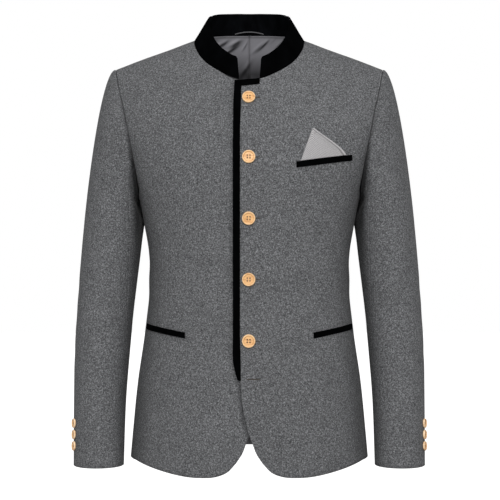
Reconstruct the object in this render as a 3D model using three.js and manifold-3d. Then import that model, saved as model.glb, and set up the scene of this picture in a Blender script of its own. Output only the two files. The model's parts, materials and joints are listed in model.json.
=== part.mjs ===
// A band-collar blazer, hollow and filled out as it is when worn, in millimetres.
// +X is the wearer's left, -Y the front and +Z up. The origin lies midway between the two
// points where the shoulder seams meet the neck, which is where the shoulders hold it up.

import * as THREE from 'three';
import { mergeVertices } from 'three/addons/utils/BufferGeometryUtils.js';
import Module from 'manifold-3d';

// Cloth walls and the room left between pieces
const CLOTH_WALL = 2.2;
const COLLAR_WALL = 3;
const LINING_WALL = 1;
const TRIM_WALL = 1.4;
const WELT_WALL = 1.8;
const SQUARE_WALL = 1.2;
const SEAM_GAP = 0.34;
const LINING_GAP = 1.3;
const TRIM_LIFT = 0.7;

// Body: horizontal sections are superellipses with a half width, a front and a back depth
const SECTION_POWER = 2.4;
const BODY_SECTIONS = [
  { z: -720, half: 198, front: 141, back: 134 },
  { z: -640, half: 191, front: 138, back: 132 },
  { z: -560, half: 183, front: 133, back: 128 },
  { z: -480, half: 171.5, front: 128, back: 122 },
  { z: -410, half: 164.5, front: 124, back: 116 },
  { z: -345, half: 165.5, front: 122, back: 112 },
  { z: -312, half: 171, front: 122, back: 113 },
  { z: -262, half: 181, front: 124, back: 117 },
  { z: -220, half: 194, front: 124, back: 120 },
  { z: -158, half: 216, front: 120, back: 121 },
  { z: -92, half: 232, front: 112, back: 118 },
  { z: -48, half: 245, front: 104, back: 112 },
  { z: 30, half: 252, front: 96, back: 102 },
];

// Above the chest and the shoulder blades each face rolls back to the shoulder seam
const FRONT_ROLL = { start: -220, power: 1.6, napeRise: 0, toward: -1, depth: 'front' };
const BACK_ROLL = { start: -180, power: 1.8, napeRise: 52, toward: 1, depth: 'back' };
const HEIGHT_RATE = 400; // drop in z for one unit of the height parameter below the roll
const NECK_HALF = 91;
const SHOULDER_TIP = { x: 220, z: -48 };
const SHOULDER_LINE = [
  { x: 0, z: 18 },
  { x: 50, z: 12 },
  { x: NECK_HALF, z: 0 },
  { x: 131, z: -15 },
  { x: 177, z: -31.4 },
  { x: SHOULDER_TIP.x, z: SHOULDER_TIP.z },
];

// Front panel edges, as x against z or z against x
const LAP_WIDTH = 25;
const FRONT_EDGE = [
  { z: -679, x: 21 },
  { z: -664, x: 11 },
  { z: -648, x: 5 },
  { z: -633, x: -1 },
  { z: -611, x: -6.5 },
  { z: -580, x: -12 },
  { z: -553, x: -14 },
  { z: -549, x: -17.5 },
  { z: -536, x: -21.5 },
  { z: -518, x: -LAP_WIDTH },
  { z: -480, x: -LAP_WIDTH },
  { z: -72.2, x: -LAP_WIDTH },
];
const FRONT_HEM = [
  { x: 21, z: -679 },
  { x: 34, z: -692.5 },
  { x: 50, z: -699.5 },
  { x: 68, z: -702 },
  { x: 102, z: -701 },
  { x: 150, z: -692 },
  { x: 200, z: -678.5 },
];
const FRONT_NECKLINE = [
  { x: -LAP_WIDTH, z: -72.2 },
  { x: -12, z: -72 },
  { x: 0, z: -71.4 },
  { x: 17, z: -69.2 },
  { x: 33, z: -63.6 },
  { x: 46, z: -57 },
  { x: 59, z: -49.2 },
  { x: 72, z: -38.6 },
  { x: 82, z: -26 },
  { x: 88, z: -13.5 },
  { x: NECK_HALF, z: 0 },
];
const BACK_NECKLINE = [
  { x: 0, z: 16.5 },
  { x: 30, z: 16 },
  { x: 60, z: 13 },
  { x: 80, z: 7.5 },
  { x: NECK_HALF, z: 0 },
];
const BACK_HEM_Z = -682;
const SEAM_HEM_Z = -688; // near where the front's side seam meets its hem

// Side seams as a share of the section's half width, and the armhole edges
const FRONT_SEAM = [
  { z: -700, share: 0.94 },
  { z: -560, share: 0.955 },
  { z: -480, share: 0.97 },
  { z: -345, share: 0.975 },
  { z: -250, share: 0.97 },
];
const BACK_SEAM = [
  { z: -700, share: 0.86 },
  { z: -480, share: 0.87 },
  { z: -345, share: 0.88 },
  { z: -262, share: 0.91 },
  { z: -215, share: 0.939 },
];
const FRONT_ARMHOLE = [
  { x: 178, z: -250 },
  { x: 182, z: -228 },
  { x: 188, z: -193 },
  { x: 195, z: -158 },
  { x: 203, z: -120 },
  { x: 211, z: -88 },
  { x: SHOULDER_TIP.x, z: SHOULDER_TIP.z },
];
const BACK_ARMHOLE = [
  { x: 184, z: -215 },
  { x: 190, z: -180 },
  { x: 198, z: -140 },
  { x: 207, z: -100 },
  { x: 214, z: -72 },
  { x: SHOULDER_TIP.x, z: SHOULDER_TIP.z },
];
const UNDERARM = [
  { across: 0, z: -250 },
  { across: 0.25, z: -259 },
  { across: 0.5, z: -262 },
  { across: 0.75, z: -247 },
  { across: 1, z: -215 },
];

// Sleeve: rings below the cap, each with its centre and its half width and half depth
const SLEEVE_RINGS = [
  { z: -300, x: 223.5, y: 0, halfWidth: 48.4, halfDepth: 58 },
  { z: -345, x: 227.4, y: -1, halfWidth: 48.6, halfDepth: 57 },
  { z: -427, x: 235.2, y: -5, halfWidth: 47, halfDepth: 54.5 },
  { z: -510, x: 240.9, y: -14, halfWidth: 45.2, halfDepth: 51.5 },
  { z: -592, x: 243.6, y: -27, halfWidth: 42.4, halfDepth: 48.5 },
  { z: -693.5, x: 244.2, y: -43, halfWidth: 40.6, halfDepth: 46 },
];
const CUFF_Z = -693.5;
const CAP_SHARE = 0.4; // part of the sleeve's length parameter given to the cap
const ARMHOLE_GAP = 0.7;
const CAP_LIFT = { top: 21, under: 6, topRise: 3, underDrop: 14 };
const CAP_SETTLE = 0.37; // part of the cap's drop over which it turns into the arm
// The ease that rests against the side of the body behind the underarm
const UNDERARM_EASE = { angle: 222, along: 0.35, depth: 13, wide: 0.13, long: 0.36 };
// The rear seam turns from the back of the armhole to the outside of the cuff
const REAR_SEAM_TURN = [
  { along: 0, angle: -75 },
  { along: 0.4, angle: -60 },
  { along: 0.75, angle: -18 },
  { along: 1, angle: 8 },
];
const INNER_SEAM_TURN = [
  { along: 0, angle: 120 },
  { along: 0.4, angle: 128 },
  { along: 1, angle: 178 },
];

// Band collar: the lean of its top edge from its base, from the front end to the nape
const COLLAR_END_X = 16.5;
const COLLAR_SEAT = 0.5;
const COLLAR_BULGE = 0.4;
const COLLAR_RISE = [
  { around: 0, inward: -3, back: 8, up: 36 },
  { around: 0.15, inward: 10, back: 9, up: 33.5 },
  { around: 0.3, inward: 19, back: 9, up: 32.5 },
  { around: 0.45, inward: 25, back: 7, up: 35 },
  { around: 0.6, inward: 24.5, back: 0, up: 37 },
  { around: 0.8, inward: 13, back: -9, up: 35 },
  { around: 1, inward: 0, back: -11, up: 34.6 },
];

// Trims that lie on the front panels
const STRIP_WIDTH = 10.4;
const STRIP_TOP_Z = -73.6;
const STRIP_END_Z = -550;
const STRIP_ROW_POWER = 1.4; // draws the strip's rows together towards its curved foot
const LAP_TRIM = { fromX: -14.2, toX: 16, height: 9.5, topZ: -73.2, rise: 3, taper: 0.05 };
const WELT_HEIGHT = 9.4;
const HIP_WELT = { fromX: 101, toX: 165, fromZ: -480, toZ: -468.8 };
const CHEST_WELT = { fromX: 74, toX: 163.5, fromZ: -210.5, toZ: -197.5 };
const POCKET_SQUARE = [
  { rise: 0, left: 81, right: 154 },
  { rise: 0.12, left: 83.3, right: 151 },
  { rise: 0.28, left: 86.3, right: 145.5 },
  { rise: 0.6, left: 92.4, right: 128.5 },
  { rise: 0.88, left: 97.7, right: 110.5 },
  { rise: 1, left: 100, right: 103 },
];
const SQUARE_HEIGHT = 51;

// Buttons
const FRONT_BUTTON = { radius: 11, thick: 4, rim: 1.4, hole: 1.1, holeRing: 3, sides: 20 };
const CUFF_BUTTON = { radius: 7.6, thick: 3.4, rim: 1, hole: 0.85, holeRing: 2.1, sides: 16 };
const FRONT_BUTTON_X = -1;
const FRONT_BUTTON_TOP_Z = -102;
const FRONT_BUTTON_PITCH = 96.5;
const FRONT_BUTTON_COUNT = 5;
const CUFF_BUTTON_HEIGHTS = [-625, -643, -661];
const CUFF_BUTTON_ANGLE = 25;
const BUTTON_LIFT = 0.4;

// Lining that shows in the neck, and the loop on the collar seam
const LINING_DEPTH_Z = -150;
const LINING_HALF = { foot: 82, top: 74 };
const LINING_DROP = 1; // of its top edge below the neckline
const LOOP = {
  halfSpan: 24, radius: 1.1, endZ: 17.4, rise: 4, endBack: 4.5, lean: 2.9, sides: 3, steps: 10,
};

const WOOL = { color: 0x66676a, roughness: 0.95 };
const VELVET = { color: 0x060708, roughness: 0.9 };
const WOOD = { color: 0xe0b47c, roughness: 0.55 };
const SATIN = { color: 0x6d6c71, roughness: 0.4 };
const TWILL = { color: 0xaaa8a9, roughness: 0.8 };

const lerp = (a, b, t) => a + (b - a) * t;
const radians = (degrees) => (degrees * Math.PI) / 180;
const smooth = (t) => {
  const s = Math.min(1, Math.max(0, t));
  return s * s * (3 - 2 * s);
};

// A column of a table as a smooth curve of another column, through every row
function readTable(table, by, column, at) {
  const last = table.length - 1;
  let row = 0;
  while (row < last - 1 && at > table[row + 1][by]) row += 1;
  const slopeAt = (k) => {
    const before = table[Math.max(k - 1, 0)];
    const after = table[Math.min(k + 1, last)];
    return (after[column] - before[column]) / (after[by] - before[by]);
  };
  const low = table[row];
  const high = table[row + 1];
  const span = high[by] - low[by];
  const t = Math.min(1, Math.max(0, (at - low[by]) / span));
  const t2 = t * t;
  const t3 = t2 * t;
  return (
    (2 * t3 - 3 * t2 + 1) * low[column] +
    (t3 - 2 * t2 + t) * span * slopeAt(row) +
    (3 * t2 - 2 * t3) * high[column] +
    (t3 - t2) * span * slopeAt(row + 1)
  );
}

// A curve through a table's points in x and z, at a share of its length
function edgeCurve(table) {
  const points = table.map((row) => new THREE.Vector3(row.x, 0, row.z));
  return new THREE.CatmullRomCurve3(points, false, 'centripetal');
}

const halfWidthAt = (z) => readTable(BODY_SECTIONS, 'z', 'half', z);

function seamTop(x, roll) {
  const inside = Math.max(0, 1 - (x / NECK_HALF) ** 2);
  const across = Math.min(Math.abs(x), SHOULDER_TIP.x);
  return readTable(SHOULDER_LINE, 'x', 'z', across) + roll.napeRise * inside ** 1.5;
}

// The height parameter is 1 on the shoulder seam, 0 where the roll starts, negative below
function heightOf(x, z, roll) {
  if (z <= roll.start) return (z - roll.start) / HEIGHT_RATE;
  const share = (z - roll.start) / (seamTop(x, roll) - roll.start);
  return 1 - Math.sqrt(Math.max(0, 1 - share));
}

function bodyPoint(x, height, roll) {
  const climb = height > 0 ? height * (2 - height) : 0;
  const z = height > 0
    ? roll.start + (seamTop(x, roll) - roll.start) * climb
    : roll.start + height * HEIGHT_RATE;
  const share = Math.min(1, Math.abs(x) / halfWidthAt(z));
  const across = (1 - share ** SECTION_POWER) ** (1 / SECTION_POWER);
  const rolled = (1 - Math.min(1, climb) ** roll.power) ** (1 / roll.power);
  const depth = readTable(BODY_SECTIONS, 'z', roll.depth, z);
  return new THREE.Vector3(x, roll.toward * depth * across * rolled, z);
}

// Normals come from the surface a small step to each side of a point
function bodyNormal(x, height, roll) {
  const step = 0.004;
  const aside = 0.5;
  const up = Math.min(1, height + step);
  const low = bodyPoint(x, up - 2 * step, roll);
  const high = bodyPoint(x, up, roll);
  const left = bodyPoint(x - aside, height, roll);
  const right = bodyPoint(x + aside, height, roll);
  const normal = right.sub(left).cross(high.sub(low)).normalize();
  return roll.toward < 0 ? normal : normal.negate();
}

// The point of a front or back face at x and z, and the way out of the cloth there
function faceFrame(x, z, roll) {
  const height = heightOf(x, z, roll);
  return { point: bodyPoint(x, height, roll), normal: bodyNormal(x, height, roll) };
}

function onFace(x, z, roll, lift) {
  const { point, normal } = faceFrame(x, z, roll);
  return point.addScaledVector(normal, lift);
}

// A section of the body below the chest at an angle from the side, front angles negative
function sectionPoint(angle, z) {
  const roll = angle < 0 ? 'front' : 'back';
  const power = 2 / SECTION_POWER;
  const depth = readTable(BODY_SECTIONS, 'z', roll, z);
  const x = halfWidthAt(z) * Math.cos(angle) ** power;
  return new THREE.Vector3(x, Math.sign(angle) * depth * Math.abs(Math.sin(angle)) ** power, z);
}

function sectionNormal(angle, z) {
  const step = 0.01;
  const turn = sectionPoint(angle + step, z).sub(sectionPoint(angle - step, z));
  const rise = sectionPoint(angle, z + 1).sub(sectionPoint(angle, z - 1));
  return turn.cross(rise).normalize();
}

const seamAngle = (table, z) => Math.acos(
  readTable(table, 'z', 'share', z) ** (SECTION_POWER / 2),
);

// A closed wall from a grid of outer points and the grid of inner points behind them.
// Rows run up and columns run to the right as seen from outside.
function wallGeometry(outer, inner) {
  const columns = outer[0].length;
  const top = outer.length - 1;
  const end = columns - 1;
  const positions = [...outer.flat(), ...inner.flat()].flatMap((p) => [p.x, p.y, p.z]);
  const front = (r, c) => r * columns + c;
  const behind = (r, c) => outer.length * columns + front(r, c);
  const index = [];
  const quad = (a, b, c, d) => index.push(a, b, c, a, c, d);
  for (let r = 0; r < top; r += 1) {
    for (let c = 0; c < end; c += 1) {
      quad(front(r, c), front(r, c + 1), front(r + 1, c + 1), front(r + 1, c));
      quad(behind(r, c), behind(r + 1, c), behind(r + 1, c + 1), behind(r, c + 1));
    }
    quad(behind(r, 0), front(r, 0), front(r + 1, 0), behind(r + 1, 0));
    quad(front(r, end), behind(r, end), behind(r + 1, end), front(r + 1, end));
  }
  for (let c = 0; c < end; c += 1) {
    quad(behind(0, c), behind(0, c + 1), front(0, c + 1), front(0, c));
    quad(front(top, c), front(top, c + 1), behind(top, c + 1), behind(top, c));
  }
  const geometry = new THREE.BufferGeometry();
  geometry.setAttribute('position', new THREE.Float32BufferAttribute(positions, 3));
  geometry.setIndex(index);
  return geometry;
}

// The same solid reflected in the plane of symmetry, with its faces still pointing out
function mirrorGeometry(geometry) {
  const mirror = geometry.scale(-1, 1, 1);
  const corners = mirror.index.array;
  for (let k = 0; k < corners.length; k += 3) {
    [corners[k], corners[k + 1]] = [corners[k + 1], corners[k]];
  }
  return mirror;
}

// Draws the outermost row or column of both grids back by half of a seam's gap
function drawBack(grids, { first = false, last = false, bottom = false, top = false }) {
  const pull = (edge, next) => {
    const away = next.clone().sub(edge);
    edge.addScaledVector(away.normalize(), SEAM_GAP / 2);
  };
  for (const grid of grids) {
    const end = grid[0].length - 1;
    const above = grid.length - 1;
    for (const row of grid) {
      if (first) pull(row[0], row[1]);
      if (last) pull(row[end], row[end - 1]);
    }
    for (let c = 0; c <= end; c += 1) {
      if (bottom) pull(grid[0][c], grid[1][c]);
      if (top) pull(grid[above][c], grid[above - 1][c]);
    }
  }
}

function mesh(name, geometry, finish) {
  const material = new THREE.MeshStandardMaterial({ ...finish, metalness: 0 });
  const made = new THREE.Mesh(geometry, material);
  made.name = name;
  return made;
}

const SIDES = [{ label: 'left', mirrored: false }, { label: 'right', mirrored: true }];

function wallMesh(name, outer, inner, finish, mirrored) {
  const geometry = wallGeometry(outer, inner);
  return mesh(name, mirrored ? mirrorGeometry(geometry) : geometry, finish);
}

// Front panels: columns from the front edge to the side seam, rows from the hem to the
// shoulder seam. Rows up to the first count meet the side seam and the rest the armhole.
const FRONT_ROWS = { toUnderarm: 13, toNeckline: 16, all: 25 };
const FRONT_COLUMNS = 13;
const EDGE_CROWDING = 0.085; // draws a front's columns together towards its two edges
const neckCurve = edgeCurve(FRONT_NECKLINE);
const frontArmCurve = edgeCurve(FRONT_ARMHOLE);
const frontSideX = (z) => readTable(FRONT_SEAM, 'z', 'share', z) * halfWidthAt(z);

function frontInnerEdge(v) {
  const neckStart = FRONT_ROWS.toNeckline / FRONT_ROWS.all;
  const corner = FRONT_EDGE[FRONT_EDGE.length - 1].z;
  if (v <= neckStart) {
    const z = lerp(FRONT_EDGE[0].z, corner, v / neckStart);
    return { x: readTable(FRONT_EDGE, 'z', 'x', z), z };
  }
  return neckCurve.getPointAt((v - neckStart) / (1 - neckStart));
}

function frontOuterEdge(v) {
  const armStart = FRONT_ROWS.toUnderarm / FRONT_ROWS.all;
  const sideX = frontSideX(SEAM_HEM_Z);
  const hemZ = readTable(FRONT_HEM, 'x', 'z', sideX);
  if (v <= armStart) {
    const z = lerp(hemZ, FRONT_ARMHOLE[0].z, v / armStart);
    return { x: frontSideX(z), z };
  }
  return frontArmCurve.getPointAt((v - armStart) / (1 - armStart));
}

// Where a panel's grid point lies, between its two edges and down to its hem
function panelPlace(u, v, innerEdge, outerEdge, hemHeight, roll) {
  const inner = innerEdge(v);
  const outer = outerEdge(v);
  const x = lerp(inner.x, outer.x, u);
  const level = (edge) => heightOf(edge.x, edge.z, roll);
  let height = lerp(level(inner), level(outer), u);
  const low = innerEdge(0);
  const side = outerEdge(0);
  const hemX = lerp(low.x, side.x, u);
  const sag = heightOf(hemX, hemHeight(hemX), roll) - lerp(level(low), level(side), u);
  height += (1 - v) ** 2 * sag;
  return { x, height: Math.min(1, height) };
}

// The under front steps in below the lap by the wall and a little more, over a short width
const LAP_STEP = { depth: CLOTH_WALL + 1.4, startX: LAP_WIDTH + 28, width: 22 };
const lapInset = (x) => LAP_STEP.depth * smooth((LAP_STEP.startX - x) / LAP_STEP.width);

function panelGrids(columns, rows, place, roll, wall, inset) {
  const outer = [];
  const inner = [];
  for (let r = 0; r <= rows; r += 1) {
    outer.push([]);
    inner.push([]);
    for (let c = 0; c <= columns; c += 1) {
      const { x, height } = place(c / columns, r / rows);
      const point = bodyPoint(x, height, roll);
      const normal = bodyNormal(x, height, roll);
      const depth = inset(x);
      outer[r].push(point.clone().addScaledVector(normal, -depth));
      inner[r].push(point.clone().addScaledVector(normal, -depth - wall));
    }
  }
  return [outer, inner];
}

function frontPanel({ label, mirrored }) {
  const hemHeight = (x) => readTable(FRONT_HEM, 'x', 'z', x);
  const place = (t, v) => {
    const u = t - EDGE_CROWDING * Math.sin(2 * Math.PI * t);
    return panelPlace(u, v, frontInnerEdge, frontOuterEdge, hemHeight, FRONT_ROLL);
  };
  const inset = mirrored ? lapInset : () => 0;
  const grids = panelGrids(FRONT_COLUMNS, FRONT_ROWS.all, place, FRONT_ROLL, CLOTH_WALL, inset);
  drawBack(grids, { last: true, top: true });
  return wallMesh(`front_${label}`, ...grids, WOOL, mirrored);
}

// Back panels: columns from the centre seam to the side seam
const BACK_ROWS = { toUnderarm: 13, all: 23 };
const BACK_COLUMNS = 12;
const BACK_NECK_COLUMNS = 6;
const backArmCurve = edgeCurve(BACK_ARMHOLE);
const backSideX = (z) => readTable(BACK_SEAM, 'z', 'share', z) * halfWidthAt(z);

function backInnerEdge(v) {
  return { x: 0, z: lerp(BACK_HEM_Z, BACK_NECKLINE[0].z, v) };
}

function backOuterEdge(v) {
  const armStart = BACK_ROWS.toUnderarm / BACK_ROWS.all;
  if (v <= armStart) {
    const z = lerp(BACK_HEM_Z, BACK_ARMHOLE[0].z, v / armStart);
    return { x: backSideX(z), z };
  }
  return backArmCurve.getPointAt((v - armStart) / (1 - armStart));
}

// The back's top row follows the neckline to the neck point and then the shoulder seam
const NECK_SPAN = BACK_NECK_COLUMNS / BACK_COLUMNS;
function backTopEdge(u) {
  if (u <= NECK_SPAN) {
    const x = lerp(0, NECK_HALF, u / NECK_SPAN);
    return { x, height: heightOf(x, readTable(BACK_NECKLINE, 'x', 'z', x), BACK_ROLL) };
  }
  return { x: lerp(NECK_HALF, SHOULDER_TIP.x, (u - NECK_SPAN) / (1 - NECK_SPAN)), height: 1 };
}

function backPlace(u, v) {
  const inner = backInnerEdge(v);
  const outer = backOuterEdge(v);
  const end = backTopEdge(u);
  const topInner = backTopEdge(0);
  const innerHeight = heightOf(inner.x, inner.z, BACK_ROLL);
  const outerHeight = heightOf(outer.x, outer.z, BACK_ROLL);
  const flatX = lerp(0, SHOULDER_TIP.x, u);
  const x = lerp(inner.x, outer.x, u) + v ** 3 * (end.x - flatX);
  const sag = end.height - lerp(topInner.height, 1, u);
  const height = lerp(innerHeight, outerHeight, u) + v ** 3 * sag;
  return { x, height: Math.min(1, height) };
}

function backPanel({ label, mirrored }) {
  const grids = panelGrids(BACK_COLUMNS, BACK_ROWS.all, backPlace, BACK_ROLL, CLOTH_WALL, () => 0)
    .map((grid) => grid.map((row) => row.reverse()));
  drawBack(grids, { first: true, last: true, top: true });
  return wallMesh(`back_${label}`, ...grids, WOOL, mirrored);
}

// Side panels, from the front's side seam round to the back's
const SIDE_ROWS = 13;
const SIDE_COLUMNS = 6;
function sidePlace(across, v) {
  const top = readTable(UNDERARM, 'across', 'z', across);
  const seamHem = readTable(FRONT_HEM, 'x', 'z', frontSideX(SEAM_HEM_Z));
  const hem = lerp(seamHem, BACK_HEM_Z, smooth(across));
  const z = lerp(hem, top, v);
  const angle = lerp(-seamAngle(FRONT_SEAM, z), seamAngle(BACK_SEAM, z), across);
  return { angle, z };
}

function sidePanel({ label, mirrored }) {
  const outer = [];
  const inner = [];
  for (let r = 0; r <= SIDE_ROWS; r += 1) {
    outer.push([]);
    inner.push([]);
    for (let c = 0; c <= SIDE_COLUMNS; c += 1) {
      const { angle, z } = sidePlace(c / SIDE_COLUMNS, r / SIDE_ROWS);
      const point = sectionPoint(angle, z);
      outer[r].push(point);
      inner[r].push(point.clone().addScaledVector(sectionNormal(angle, z), -CLOTH_WALL));
    }
  }
  const grids = [outer, inner];
  drawBack(grids, { first: true, last: true });
  return wallMesh(`side_${label}`, ...grids, WOOL, mirrored);
}

// The armhole as one closed loop, from the shoulder tip down the front and up the back
function armholeLoop() {
  const steps = 24;
  const points = [];
  for (let k = 0; k < steps; k += 1) {
    const edge = frontArmCurve.getPointAt(1 - k / steps);
    points.push(bodyPoint(edge.x, heightOf(edge.x, edge.z, FRONT_ROLL), FRONT_ROLL));
  }
  for (let k = 0; k < steps; k += 1) {
    const { angle, z } = sidePlace(k / steps, 1);
    points.push(sectionPoint(angle, z));
  }
  for (let k = 0; k < steps; k += 1) {
    const edge = backArmCurve.getPointAt(k / steps);
    points.push(bodyPoint(edge.x, heightOf(edge.x, edge.z, BACK_ROLL), BACK_ROLL));
  }
  return new THREE.CatmullRomCurve3(points, true, 'centripetal');
}
const armhole = armholeLoop();
armhole.arcLengthDivisions = 600;

// A ring of the arm: angle 0 is the outside, 90 degrees the front and 180 the body's side
const RINGS_UPWARD = [...SLEEVE_RINGS].reverse();
const BICEPS_Z = SLEEVE_RINGS[0].z;
function armRing(angle, z) {
  const ring = (column) => readTable(RINGS_UPWARD, 'z', column, z);
  return new THREE.Vector3(
    ring('x') + ring('halfWidth') * Math.cos(angle),
    ring('y') - ring('halfDepth') * Math.sin(angle),
    z,
  );
}

// Soft breaks at the elbow and above the cuff, each a trough with its own place and depth
const SLEEVE_FOLDS = [
  { angle: 60, z: -392, slope: 0.35, depth: 1.6, wide: 14, long: 0.9 },
  { angle: 110, z: -440, slope: -0.3, depth: 2.2, wide: 16, long: 1.0 },
  { angle: -40, z: -470, slope: 0.4, depth: 1.4, wide: 18, long: 0.8 },
];
const ARM_RADIUS = 50;
function foldDepth(angle, z) {
  return SLEEVE_FOLDS.reduce((total, fold) => {
    const apart = angle - radians(fold.angle);
    const turn = Math.atan2(Math.sin(apart), Math.cos(apart));
    const off = (z - fold.z - fold.slope * turn * ARM_RADIUS) / fold.wide;
    return total + fold.depth * Math.exp(-off * off - (turn / fold.long) ** 2);
  }, 0);
}

function underarmEase(angle, along) {
  const apart = angle - radians(UNDERARM_EASE.angle);
  const turn = Math.atan2(Math.sin(apart), Math.cos(apart)) / UNDERARM_EASE.long;
  const off = (along - UNDERARM_EASE.along) / UNDERARM_EASE.wide;
  return UNDERARM_EASE.depth * Math.exp(-off * off - turn * turn);
}

function sleevePoint(angle, along) {
  const inward = new THREE.Vector3(-Math.cos(angle), Math.sin(angle), 0);
  const ease = underarmEase(angle, along);
  if (along >= CAP_SHARE) {
    const z = lerp(BICEPS_Z, CUFF_Z, (along - CAP_SHARE) / (1 - CAP_SHARE));
    return armRing(angle, z).addScaledVector(inward, foldDepth(angle, z) - ease);
  }
  const share = ((angle / (2 * Math.PI)) % 1 + 1) % 1;
  const start = armhole.getPointAt(share);
  const end = armRing(angle, BICEPS_Z);
  const below = armRing(angle, BICEPS_Z - 5);
  const top = (1 + Math.cos(angle)) / 2;
  const lift = new THREE.Vector3(
    lerp(CAP_LIFT.under, CAP_LIFT.top, top),
    0,
    lerp(-CAP_LIFT.underDrop, CAP_LIFT.topRise, top),
  );
  start.addScaledVector(lift.clone().normalize(), ARMHOLE_GAP);
  const drop = start.z - end.z;
  const rise = end.clone().sub(below).normalize().multiplyScalar(drop * CAP_SETTLE);
  const curve = new THREE.CubicBezierCurve3(
    start, start.clone().add(lift), end.clone().add(rise), end,
  );
  return curve.getPoint(along / CAP_SHARE).addScaledVector(inward, -ease);
}

function sleeveNormal(angle, along) {
  const step = 0.004;
  const aside = 0.02;
  const low = Math.min(1, along + step);
  const high = Math.max(0, low - 2 * step);
  const turn = sleevePoint(angle + aside, along).sub(sleevePoint(angle - aside, along));
  const rise = sleevePoint(angle, high).sub(sleevePoint(angle, low));
  return rise.cross(turn).normalize();
}

// A sleeve piece between two seams that turn with the arm, its rows closer near the cap
const SLEEVE_ROWS = 20;
const SLEEVE_ROW_POWER = 1.3;
const SLEEVE_COLUMNS = { top: 11, under: 9 };
function sleevePiece(name, columns, fromTurn, toTurn, mirrored) {
  const outer = [];
  const inner = [];
  for (let r = 0; r <= SLEEVE_ROWS; r += 1) {
    const along = (1 - r / SLEEVE_ROWS) ** SLEEVE_ROW_POWER;
    const from = radians(fromTurn(along));
    const to = radians(toTurn(along));
    outer.push([]);
    inner.push([]);
    for (let c = 0; c <= columns; c += 1) {
      const angle = lerp(to, from, c / columns);
      const point = sleevePoint(angle, along);
      outer[r].push(point);
      inner[r].push(point.clone().addScaledVector(sleeveNormal(angle, along), -CLOTH_WALL));
    }
  }
  const grids = [outer, inner];
  drawBack(grids, { first: true, last: true });
  return wallMesh(name, ...grids, WOOL, mirrored);
}

const rearTurn = (along) => readTable(REAR_SEAM_TURN, 'along', 'angle', along);
const innerTurn = (along) => readTable(INNER_SEAM_TURN, 'along', 'angle', along);

function sleeves({ label, mirrored }) {
  const { top, under } = SLEEVE_COLUMNS;
  return [
    sleevePiece(`sleeve_top_${label}`, top, rearTurn, innerTurn, mirrored),
    sleevePiece(`sleeve_under_${label}`, under, innerTurn, (a) => rearTurn(a) + 360, mirrored),
  ];
}

// Base of the collar from its front end to the nape, through the corners that the front
// and back panels have along the neckline, so that its lower edge lies along theirs
function collarBase() {
  const rows = FRONT_ROWS.all - FRONT_ROWS.toNeckline;
  const along = Array.from({ length: rows + 1 }, (_, k) => neckCurve.getPointAt(k / rows));
  const after = along.filter((point) => point.x > COLLAR_END_X + 2);
  const before = along[along.length - after.length - 1];
  const share = (COLLAR_END_X - before.x) / (after[0].x - before.x);
  const end = { x: COLLAR_END_X, z: lerp(before.z, after[0].z, share) };
  const front = [end, ...after].map(
    ({ x, z }) => bodyPoint(x, heightOf(x, z, FRONT_ROLL), FRONT_ROLL),
  );
  const back = Array.from({ length: BACK_NECK_COLUMNS }, (_, k) => {
    const { x, height } = backTopEdge((BACK_NECK_COLUMNS - 1 - k) / BACK_COLUMNS);
    return bodyPoint(x, height, BACK_ROLL);
  });
  return [...front, ...back];
}

const COLLAR_ROWS = 3;
const collarBasePoints = collarBase();
const collarHalf = collarBasePoints.length - 1;
const collarRun = collarBasePoints.reduce((lengths, point, k) => {
  const step = k ? point.distanceTo(collarBasePoints[k - 1]) : 0;
  return [...lengths, (lengths[k - 1] ?? 0) + step];
}, []);

// A point of the collar, by its column from the wearer's left end and its share of the rise
function collarPoint(column, up) {
  const side = column <= collarHalf ? 1 : -1;
  const k = column <= collarHalf ? column : 2 * collarHalf - column;
  const base = collarBasePoints[k];
  const around = collarRun[k] / collarRun[collarHalf];
  const rise = (name) => readTable(COLLAR_RISE, 'around', name, around);
  const bulge = COLLAR_BULGE * Math.sin(Math.PI * up) * (base.x / NECK_HALF);
  const x = base.x - up * rise('inward') + bulge;
  const climb = COLLAR_SEAT + up * rise('up');
  return new THREE.Vector3(side * x, base.y + up * rise('back'), base.z + climb);
}

function collar() {
  const outer = [];
  const inner = [];
  const columns = 2 * collarHalf;
  for (let r = 0; r <= COLLAR_ROWS; r += 1) {
    outer.push([]);
    inner.push([]);
    for (let c = 0; c <= columns; c += 1) {
      const up = r / COLLAR_ROWS;
      const point = collarPoint(c, up);
      const ahead = collarPoint(Math.min(columns, c + 1), up);
      const behind = collarPoint(Math.max(0, c - 1), up);
      const rise = collarPoint(c, up + 0.02).sub(collarPoint(c, up - 0.02));
      const normal = ahead.sub(behind).cross(rise).normalize();
      outer[r].push(point);
      inner[r].push(point.clone().addScaledVector(normal, -COLLAR_WALL));
    }
  }
  return mesh('collar', wallGeometry(outer, inner), VELVET);
}

// A patch that lies on a front or back face, as a grid of x and z moved out from it
function patch(name, columns, rows, place, roll, lift, wall, finish, mirrored = false) {
  const outer = [];
  const inner = [];
  for (let r = 0; r <= rows; r += 1) {
    outer.push([]);
    inner.push([]);
    for (let c = 0; c <= columns; c += 1) {
      const { x, z } = place(c / columns, r / rows);
      outer[r].push(onFace(x, z, roll, lift + wall));
      inner[r].push(onFace(x, z, roll, lift));
    }
  }
  const grids = roll.toward < 0 ? [outer, inner] : [outer, inner].map(
    (grid) => grid.map((row) => row.reverse()),
  );
  return wallMesh(name, ...grids, finish, mirrored);
}

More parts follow.
